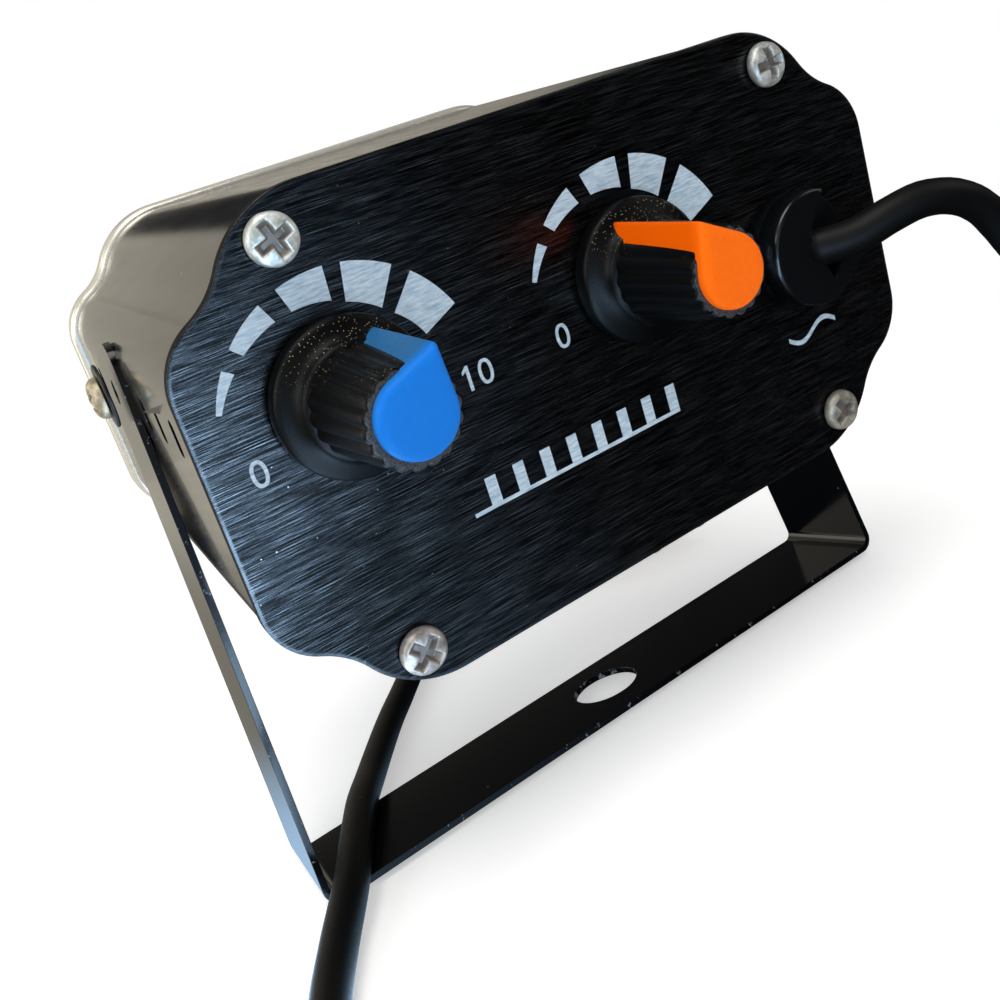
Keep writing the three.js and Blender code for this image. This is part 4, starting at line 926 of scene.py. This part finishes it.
# A mains sign under the cord: one wave of alternating current
wave = np.linspace(-1, 1, 40)
crest = np.column_stack([33.8 + 4.6 * wave, -12.0 + 1.0 * np.sin(wave * np.pi)])
print_shape(np.vstack([crest - (0, 0.35), (crest + (0, 0.35))[::-1]]))
points, faces = joined(ink_parts)
ink = close_doubles(make_piece("panel_print", in_case(points), faces, ink_finish, smooth=False), 1e-8)
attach(ink, "head")


# Screws. Steel machine screws with pan heads and a cross recess, nickel plated, four in the rear panel
# and four in the bezel, and a domed one at each pivot. The recesses are painted darker, as shade.
def mark_points(piece, name, values):
    """A number for each point of a piece, which its material reads by name."""
    mark = piece.data.attributes.new(name, "FLOAT", "POINT")
    mark.data.foreach_set("value", values.astype(np.float32).ravel())


def marked(tree, name):
    """The number that a piece's points carry under a name."""
    return add_node(tree, "Attribute", attribute_name=name).outputs["Fac"]


def plated(name, clean, recess_shade):
    """A worn plating, blotched and half matt, painted darker as shade where the point attribute "recess" is
    high.
    """
    finish, tree, shader = new_material(name, clean, 0.5, 0.45)
    blotch = add_grain(tree, shader, 700, 5, (0.22, 0.6), (0.7, 0.00012), 0.65)
    patchy = ramp(tree, blotch, 0.4, 0.62)
    plating = colour_mix(tree, patchy, [c * 0.62 for c in clean], [min(c * 1.2, 0.9) for c in clean])
    connect(tree, shader, {"Base Color": colour_mix(tree, marked(tree, "recess"), plating, recess_shade)})
    return finish


# The tone of each corner's screws, and the turn of their cross in radians
screw_looks = {
    "top_left": ((0.72, 0.77, 0.72), 0.35), "top_right": ((0.54, 0.55, 0.53), 0.1),
    "bottom_right": ((0.42, 0.40, 0.34), 0.55), "bottom_left": ((0.50, 0.46, 0.43), 0.75),
}


def screw_grid(radius, side_height, rise, turn, base):
    """A screw head: a short wall, a dome, and a cross pressed into it whose arms slope at their ends."""
    count = 96
    reach = np.concatenate([np.linspace(0, 1, 34), [1, 1, 0.7]]) * radius
    angle = np.linspace(0, 2 * np.pi, count, endpoint=False)
    r = np.broadcast_to(reach[:, None], (len(reach), count))
    x, y = r * np.cos(angle), r * np.sin(angle)
    height = base + side_height + rise * np.sqrt(np.clip(1 - (r / radius) ** 3.4, 0, 1))
    c, s = np.cos(turn), np.sin(turn)
    u, v = x * c + y * s, y * c - x * s
    arm = lambda a, b: np.minimum((0.7 - np.abs(b)) * 3.2, (2.25 - np.abs(a)) * 1.5)
    sunk = np.clip(np.maximum(arm(u, v), arm(v, u)), 0, 1.15)
    height = height - sunk
    height[-3] = base + side_height
    height[-2:] = base
    return np.stack([x, y, height], -1), np.clip(sunk / 0.5, 0, 1)


def grid_piece(name, grid, placed, material, close_rows=False):
    """A piece from a grid whose rows are rings, with its points put in place by a function."""
    faces = grid_faces(*grid.shape[:2], close_rows, True)
    return make_piece(name, placed(grid.reshape(-1, 3)), faces, material)


def make_screw(name, placed, head, body, node, finish):
    """One screw as a piece: its head's grid with its recess marked for painted shade."""
    grid, sunk = head
    piece = grid_piece(name, grid, placed, finish)
    mark_points(piece, "recess", sunk)
    close_doubles(piece)
    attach(piece, body)
    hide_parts(node)


case_length = 85
for corner, (x, y) in screw_places.items():
    tone, turn = screw_looks[corner]
    head = screw_grid(2.9, 0.6, 1.05, turn, 0.3)
    # The dark last colour is painted shade in the cross recess
    finish = plated(f"worn nickel {corner}", tone, (0.27, 0.25, 0.23))
    make_screw(f"rear_screw_{corner}", lambda p: in_case(p + (x, y, 0)), head, "head",
               f"panel_screw_{corner}", finish)
    make_screw(f"front_screw_{corner}", lambda p: in_case(p * (1, -1, -1) + (x, y, -case_length)), head, "head",
               f"bezel_screw_{corner}", finish)


# Pivots. On each side a domed screw goes through a black washer, the arm and the case wall. The screw
# turns with the case; its nut is inside.
def turned(profile, steps):
    """A surface of revolution about z: each point of the profile, a radius and a height, becomes a ring."""
    angle = np.linspace(0, 2 * np.pi, steps, endpoint=False)
    radius, height = profile[:, :1], np.repeat(profile[:, 1:], steps, 1)
    return np.stack([radius * np.cos(angle), radius * np.sin(angle), height], -1)


washer_finish, tree, shader = new_material("blackened washer", (0.02, 0.02, 0.021), 0.4, 0.6)
add_grain(tree, shader, 2000, 3, (0.3, 0.55))
# Beige tint: a painted reflection of the pale room; the dark second colour is painted shade in the recess
reflection_tinted_nickel = plated("nickel with painted beige reflection", (0.42, 0.35, 0.24), (0.09, 0.07, 0.05))
pivot = np.array([0, stand_shift, pivot_height / 1000])
washer_radius = 4.7
washer_edge = 0.12
for side, sign in (("left", -1), ("right", 1)):
    on_side = lambda p: np.column_stack([sign * p[:, 2], sign * p[:, 0], p[:, 1]]) / 1000 + pivot
    outer = max(abs(corner[0]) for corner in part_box(f"pivot_screw_{side}")) * 1000
    head = screw_grid(3.1, 0.1, 1.6, 0.5, outer - 1.7)
    make_screw(f"pivot_head_{side}", on_side, head, "head", f"pivot_screw_{side}", reflection_tinted_nickel)
    inner, outer = sorted(abs(corner[0]) * 1000 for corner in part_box(f"pivot_washer_{side}"))
    section = np.array([
        (pivot_hole_radius, inner), (washer_radius - washer_edge, inner), (washer_radius, inner + washer_edge),
        (washer_radius, outer - washer_edge), (washer_radius - washer_edge, outer), (pivot_hole_radius, outer),
    ])
    washer = grid_piece(f"washer_{side}", turned(section, 64), on_side, washer_finish, close_rows=True)
    close_doubles(washer)
    finish_edges(washer, 0.00004)
    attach(washer, "stand")
    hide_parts(f"pivot_washer_{side}")


# Dials. Each has a black knob, moulded in one with a domed skirt and a fluted barrel, and a coloured
# insert: a drop-shaped face on its end that runs on as a strip down the barrel to the skirt.
knob_color = (0.0016, 0.0017, 0.002)
knob_finish, tree, shader = new_material("black knob plastic", knob_color, 0.42, Specular_IOR_Level=0.12)
grain = add_grain(tree, shader, 5400, 3, (0.24, 0.5), (0.35, 0.00006), 0.6)
# Golden specks on the upper side: dust, and a painted sheen of warm light from above
specks = {"Vector": object_place(tree), "Scale": 3600.0, "Share": 0.42, "Size": 0.22}
golden_dust_and_sheen = calculate(tree, "MULTIPLY", add_group(tree, dust, specks)["Mask"], marked(tree, "dust"))
rubbed = calculate(tree, "MULTIPLY", ramp(tree, grain, 0.28, 0.62), marked(tree, "end"))
tone = colour_mix(tree, golden_dust_and_sheen, knob_color, (0.34, 0.27, 0.17))
connect(tree, shader, {"Base Color": colour_mix(tree, rubbed, tone, (0.075, 0.083, 0.095))})

skirt_radius = 9.1
skirt_profile = np.array([
    (6.3, 0.6), (8.8, 0.4), (9.05, 0.55), (skirt_radius, 0.9), (skirt_radius, 2.1), (9.02, 2.45), (8.8, 2.7),
    (8.35, 2.92), (7.75, 3.18), (7.2, 3.5), (6.85, 3.88), (6.6, 4.35), (6.42, 4.9), (5.0, 5.1),
])
flute_count = 18
barrel_low, barrel_high = 3.9, 17.9
barrel_radii = (6.3, 5.3)
insert_colors = {"left": (0.006, 0.182, 0.70), "right": (0.97, 0.150, 0.0)}
# The strip's colours are darker and duller than the face's: painted shade and painted grey reflection
ridge_shade_colors = {"left": (0.022, 0.125, 0.30), "right": (0.80, 0.105, 0.0)}
insert_turns = {"left": 57, "right": 114}


def fluted_barrel():
    """The barrel: a cone with shallow round flutes, a small edge radius and a flat end, as a closed grid."""
    angle = np.linspace(0, 2 * np.pi, flute_count * 12, endpoint=False)
    flute = 0.34 * (1 - (0.5 + 0.5 * np.cos(flute_count * angle)) ** 0.55)
    edge = 0.4
    turning = np.linspace(0.3, np.pi / 2, 5)
    rows = [(barrel_low, 0.0), *((z, 0.0) for z in np.linspace(barrel_low + 0.5, barrel_high - edge, 14)),
            *zip(barrel_high - edge * (1 - np.sin(turning)), edge * (1 - np.cos(turning)))]
    rings = [(np.interp(z, (barrel_low, barrel_high), barrel_radii) - inset - flute, z) for z, inset in rows]
    # The end closes in rings that lose the flutes on their way to the middle
    rings += [((barrel_radii[1] - edge - flute * fluted) * share, barrel_high)
              for share, fluted in ((0.94, 0.48), (0.9, 0), (0.6, 0), (0.0, 0))]
    return np.array([at_level(radius[:, None] * directions(angle), z) for radius, z in rings])


drop_round, drop_off, drop_tip, drop_reach = 4.35, 0.27, 0.35, 7.35


def drop_outline(inset):
    """A drop moved in by inset: a large and a small circle on one line, and the tangents to both."""
    sine = (drop_round - drop_tip) / (drop_reach - drop_tip - drop_off)
    large = drop_round - inset
    small = max(drop_tip - 0.3 * inset, 0.06)
    touch = np.arccos(sine)
    angle = np.linspace(touch, 2 * np.pi - touch, 64)
    tip_angle = np.linspace(-touch, touch, 9)
    round_part = large * directions(angle) + (drop_off, 0)
    tip = small * directions(tip_angle) + (drop_off + (large - small) / sine, 0)
    return np.vstack([round_part, tip])


face_high = 19.3
face_edge = 1.0
for side, (dial_x, dial_y) in dial_places.items():
    turn = np.radians(insert_turns[side])
    spin = np.array([[np.cos(turn), np.sin(turn), 0], [-np.sin(turn), np.cos(turn), 0], [0, 0, 1]])
    on_dial = lambda p: in_case(p @ spin + (dial_x, dial_y, 0))
    skirt = turned(skirt_profile, 128)
    barrel = fluted_barrel()
    points, faces = joined([
        (skirt.reshape(-1, 3), grid_faces(len(skirt_profile), 128, True, True)),
        (barrel.reshape(-1, 3), grid_faces(*barrel.shape[:2], close_columns=True)),
    ])
    knob = make_piece(f"knob_{side}_body", on_dial(points), faces, knob_finish)
    # Dust, with a painted sheen of light from above, lies on the side that is up at rest, on the skirt's
    # dome and near the barrel's end, which is rubbed grey
    upper = (points[:, 1] * np.cos(turn) + points[:, 0] * np.sin(turn)) / skirt_radius
    high = points[:, 2]
    on_skirt = np.clip((upper - 0.35) / 0.4, 0, 1) * (high > 2.6) * (high < 8)
    on_barrel = 0.8 * np.clip((upper - 0.3) / 0.2, 0, 1) * np.clip((high - 11) / 6, 0, 1) * (high < 17.8)
    mark_points(knob, "dust", np.maximum(on_skirt, on_barrel))
    mark_points(knob, "end", high > barrel_high - 0.05)
    close_doubles(knob)
    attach(knob, f"{side}_dial")
    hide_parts(f"knob_{side}")

    color = insert_colors[side]
    insert_finish, tree, shader = new_material(
        f"insert {side}", color, 0.38, Subsurface_Weight=0.05, Subsurface_Radius=(0.001, 0.0006, 0.0004),
        Specular_IOR_Level=0.08,
    )
    grain = add_grain(tree, shader, 1500, 3, (0.3, 0.5), (0.1, 0.00005))
    tone = colour_mix(tree, grain, [c * 0.93 for c in color], [min(1, c * 1.06 + 0.004) for c in color])
    # The strip down the barrel takes the darker ridge colour: painted shade and painted grey reflection
    connect(tree, shader, {"Base Color": colour_mix(tree, marked(tree, "painted_flank_shade"), tone, ridge_shade_colors[side])})
    # One prism: inside the barrel but for its tip, which stands out as a ridge that widens with the cone.
    # Each row is the outline's inset, its height and its growth
    rows = [(3.0, 2.7, 1.06), (0.0, 2.7, 1.06)]
    rows += [(0.0, z, 1 + 0.06 * (face_high - z) / 16.6) for z in np.linspace(4, 18.2, 12)]
    rows += [(face_edge * (1 - np.cos(a)), face_high - face_edge * (1 - np.sin(a)), 1.0)
             for a in np.linspace(0.1, np.pi / 2, 8)]
    rows += [(1.8, face_high + 0.02, 1.0), (3.0, face_high + 0.03, 1.0)]
    loops = [at_level(drop_outline(inset) * grow, z) for inset, z, grow in rows]
    poles = [np.broadcast_to((drop_off + 0.8, 0, z), (73, 3)) for z in (2.7, face_high + 0.03)]
    prism = np.array([poles[0], *loops, poles[1]])
    insert = grid_piece(f"insert_{side}", prism, on_dial, insert_finish)
    # Painted shade on the strip: full below 17.5 mm, fading out by 18.7 mm
    mark_points(insert, "painted_flank_shade", np.clip((18.7 - prism[..., 2]) / 1.2, 0, 1))
    close_doubles(insert)
    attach(insert, f"{side}_dial")
    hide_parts(f"knob_pointer_{side}")


# Cord grip. A moulded bush snapped into the panel: a round head, and a notch between two straight walls
# from which the cord leaves to the right. Glossy where it is rubbed.
grip_color = (0.003, 0.0035, 0.0045)
grip_finish, tree, shader = new_material("glossy black nylon", grip_color, 0.2)
add_grain(tree, shader, 1800, 3, (0.12, 0.3), (0.15, 0.00005))
connect(tree, shader, {"Base Color": dusted(tree, grip_color, (0.12, 0.12, 0.12), 600, 0.05, 0.12)})
grip_radius = 7.8
grip_height = 5.6
notch_floor = 2.6
land_edge = 0.55
rim_edge = 0.45
# From above, the high land runs from the top round the left to the heel; the cord leaves through the rest
land_rim = directions(np.radians(np.linspace(68, 341, 110))) * grip_radius
land = np.vstack([land_rim, [(3.3, -2.9), (1.75, -4.9), (-0.96, 1.95), (1.5, 5.6)]])
rim = circle(0, 0, grip_radius, 160)
points, faces = joined([
    rolled_plate(rolled_rows(lambda inset: moved_in(land, inset), notch_floor - 0.4, grip_height,
                             land_edge, land_edge)),
    rolled_plate(rolled_rows(lambda inset: moved_in(rim, inset), 0.02, notch_floor, rim_edge, rim_edge)),
    plate(circle(0, 0, 4.4, 40), [], -6.0, 0.3),
])
grip = make_piece("cord_grip_bush", in_case(points + (*grip_place, 0)), faces, grip_finish)
close_doubles(grip)
flatten(grip, case_matrix[:3, 2])
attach(grip, "head")
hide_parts("cord_grip")


# Front bezel. A cast frame that caps the sleeve's front end: its rim rolls over the sleeve, and its
# opening holds the window. Polished pale champagne grey metal, with faint lines along the rim; the
# paleness is in part a painted reflection of the bright room that the rolled rim mirrors.
bezel_painted_pale_finish, tree, shader = new_material("pale metal with painted reflection", (0.80, 0.76, 0.67), 0.24, 0.6)
lines = add_group(tree, brushing, {"Vector": object_place(tree), "Long": 900.0, "Fine": 2600.0})["Lines"]
tone = colour_mix(tree, lines, (0.66, 0.62, 0.53), (0.90, 0.87, 0.79))
connect(tree, shader, {"Base Color": tone, "Roughness": ramp(tree, lines, 0, 1, 0.16, 0.34)})
add_bump(tree, shader, lines, 0.15, 0.00005)
bezel_outset = 0.6
bezel_round = 1.2
back, front = -80.0, -float(case_length)
rounding = bezel_round * (1 - np.sin(np.linspace(0, np.pi / 2, 7)))
falling = bezel_round * (1 - np.cos(np.linspace(0, np.pi / 2, 7)))
section = [(2.4, back), *zip(rounding - bezel_outset, back - falling),
           *zip(falling - bezel_outset, front + rounding), (4.0, front)]
outer_rows = [at_level(ogee_outline(inset), z) for inset, z in section]


def bearing(loop):
    """The angle of each point of a loop, seen from the middle, with the case's proportions evened out."""
    return np.arctan2(loop[:, 1] / 30, loop[:, 0] / 50)


# The opening is a rounded rectangle, with a point at the bearing of each of the outline's points
fine_loop = rounded_loop(43, 19, 4, 60)
wanted, known = bearing(ogee_outline(4.0)), bearing(fine_loop)
order = np.argsort(known)
opening = np.column_stack([
    np.interp(wanted, known[order], fine_loop[order, k], period=2 * np.pi) for k in (0, 1)
])
inner_rows = [at_level(opening * (1 + 0.012 * flare), z)
              for flare, z in ((1, front), (0.3, front + 0.15), (0, front + 0.5), (0, back))]
bezel_grid = np.array([*outer_rows, *inner_rows])
bezel = close_doubles(grid_piece("bezel_frame", bezel_grid, in_case, bezel_painted_pale_finish, close_rows=True))
bezel.modifiers.new("flat faces", "WEIGHTED_NORMAL").keep_sharp = True
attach(bezel, "head")
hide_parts("front_bezel")


# Light engine. Behind the clear window a bright reflector with ten cups stands on a white board, and
# each cup holds an LED: a pale yellow chip under a clear dome.
glass_finish, tree, shader = new_material("clear window", (0.97, 0.98, 0.98), 0.03, Transmission_Weight=1.0,
                                         IOR=1.49)
add_grain(tree, shader, 300, 3, (0.0, 0.07))
mirror_finish, tree, shader = new_material("bright reflector", (0.86, 0.87, 0.88), 0.14, 1.0)
add_grain(tree, shader, 260, 2, (0.08, 0.24), (0.12, 0.0003))
led_finish, tree, shader = new_material("LED dome", (0.86, 0.78, 0.30), 0.12, Coat_Weight=1.0,
                                       Coat_Roughness=0.03)
spots = add_node(tree, "TexVoronoi", {"Vector": object_place(tree), "Scale": 1400.0}).outputs["Distance"]
connect(tree, shader, {"Base Color": colour_mix(tree, spots, (0.90, 0.80, 0.22), (0.82, 0.80, 0.55))})

reflector_front = -77.4
reflector_thickness = 0.6
cup_radius = 7.2
cup_depth = 6.0
optic_half_height = 21.7
led_places = [((column - 2) * 16.4, (row - 0.5) * 18.0) for row in range(2) for column in range(5)]
# The case's inner outline, cut off straight above and below
case_inside = ogee_outline(1.8)
inside = case_inside[np.abs(case_inside[:, 1]) < optic_half_height - 0.01]
cut_x = np.interp(optic_half_height, case_inside[:quarter, 1], case_inside[:quarter, 0])
top_cut = np.array([(cut_x, optic_half_height)])
right, upper = inside[:, 0] > 0, inside[:, 1] > 0
optic_outline = np.vstack([
    inside[right & upper], top_cut, top_cut * (-1, 1), inside[~right & upper],
    inside[~right & ~upper], top_cut * (-1, -1), top_cut * (1, -1), inside[right & ~upper],
])
mirror_holes = [circle(x, y, cup_radius, 48) for x, y in led_places]
cup_share = np.linspace(0, 1, 10)
cup_profile = np.column_stack([cup_radius * (1 - cup_share**1.5 / 2), reflector_front + cup_depth * cup_share])
cup = turned(cup_profile, 48).reshape(-1, 3)
cup_faces = grid_faces(len(cup_profile), 48, close_columns=True)
points, faces = joined([
    plate(optic_outline, mirror_holes, reflector_front, reflector_front + reflector_thickness),
    *[(cup + (x, y, 0), cup_faces) for x, y in led_places],
])
reflector = make_piece("reflector_cups", in_case(points), faces, mirror_finish)
reflector.modifiers.new("flat faces", "WEIGHTED_NORMAL").keep_sharp = True
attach(reflector, "head")
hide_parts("reflector")

led_base = -70.4
dome_radius = 2.1
dome_profile = np.vstack([
    [(0.0, 0.0), (2.9, 0.0), (2.9, 0.8), (2.7, 1.0), (dome_radius, 1.0)],
    dome_radius * directions(np.linspace(0.15, np.pi / 2, 8)) + (0, 1.0),
])
dome = turned(dome_profile * (1, -1) + (0, led_base), 48).reshape(-1, 3)
dome_faces = grid_faces(len(dome_profile), 48, close_columns=True)
points, faces = joined([(dome + (x, y, 0), dome_faces) for x, y in led_places])
leds = close_doubles(make_piece("led_domes", in_case(points), faces, led_finish), 1e-8)
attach(leds, "head")
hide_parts(*[f"led_{k + 1}" for k in range(10)])


# Electronics and wiring. Solid parts of the CAD model, each in its real finish: green and white boards,
# a taped coil, a sleeved capacitor, a glass fuse, black packages, tinned metal and coloured wires.
def plain_finish(name, color, roughness, metallic=0.0, scale=900.0, spread=0.12):
    """A finish whose colour and roughness wander a little over the surface, as moulded or dipped parts do."""
    material, tree, shader = new_material(name, color, roughness, metallic)
    grain = add_grain(tree, shader, scale, 4, (roughness * 0.8, min(1, roughness * 1.3)))
    tone = colour_mix(tree, grain, [c * (1 - spread) for c in color], [min(1, c * (1 + spread)) for c in color])
    connect(tree, shader, {"Base Color": tone})
    return material


package_black = plain_finish("package black", (0.012, 0.012, 0.013), 0.5)
tinned = plain_finish("tinned metal", (0.66, 0.65, 0.62), 0.32, 1.0)
for node, finish in {
    "front_window": glass_finish,
    "led_board": plain_finish("white board", (0.84, 0.84, 0.80), 0.45, spread=0.04),
    "driver_board": plain_finish("green board", (0.012, 0.10, 0.035), 0.4, scale=300.0, spread=0.3),
    "inductor": plain_finish("yellow tape", (0.62, 0.42, 0.03), 0.5),
    "smoothing_capacitor": plain_finish("capacitor sleeve", (0.015, 0.02, 0.045), 0.3),
    "fuse": plain_finish("fuse glass", (0.7, 0.68, 0.6), 0.1),
    "bridge_rectifier": package_black,
    "timing_chip": package_black,
    "power_transistor": package_black,
    "pot_left": tinned, "pot_right": tinned, "pot_nut_left": tinned, "pot_nut_right": tinned,
    "pot_shaft_left": tinned, "pot_shaft_right": tinned, "pivot_nut_left": tinned, "pivot_nut_right": tinned,
    "cord_inner_end": cord_finish,
    "power_wire_live": plain_finish("brown wire", (0.12, 0.035, 0.012), 0.4),
    "power_wire_neutral": plain_finish("blue wire", (0.02, 0.07, 0.4), 0.4),
    "led_cable": plain_finish("red wire", (0.42, 0.012, 0.012), 0.4),
}.items():
    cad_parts[node].data.materials.clear()
    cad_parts[node].data.materials.append(finish)
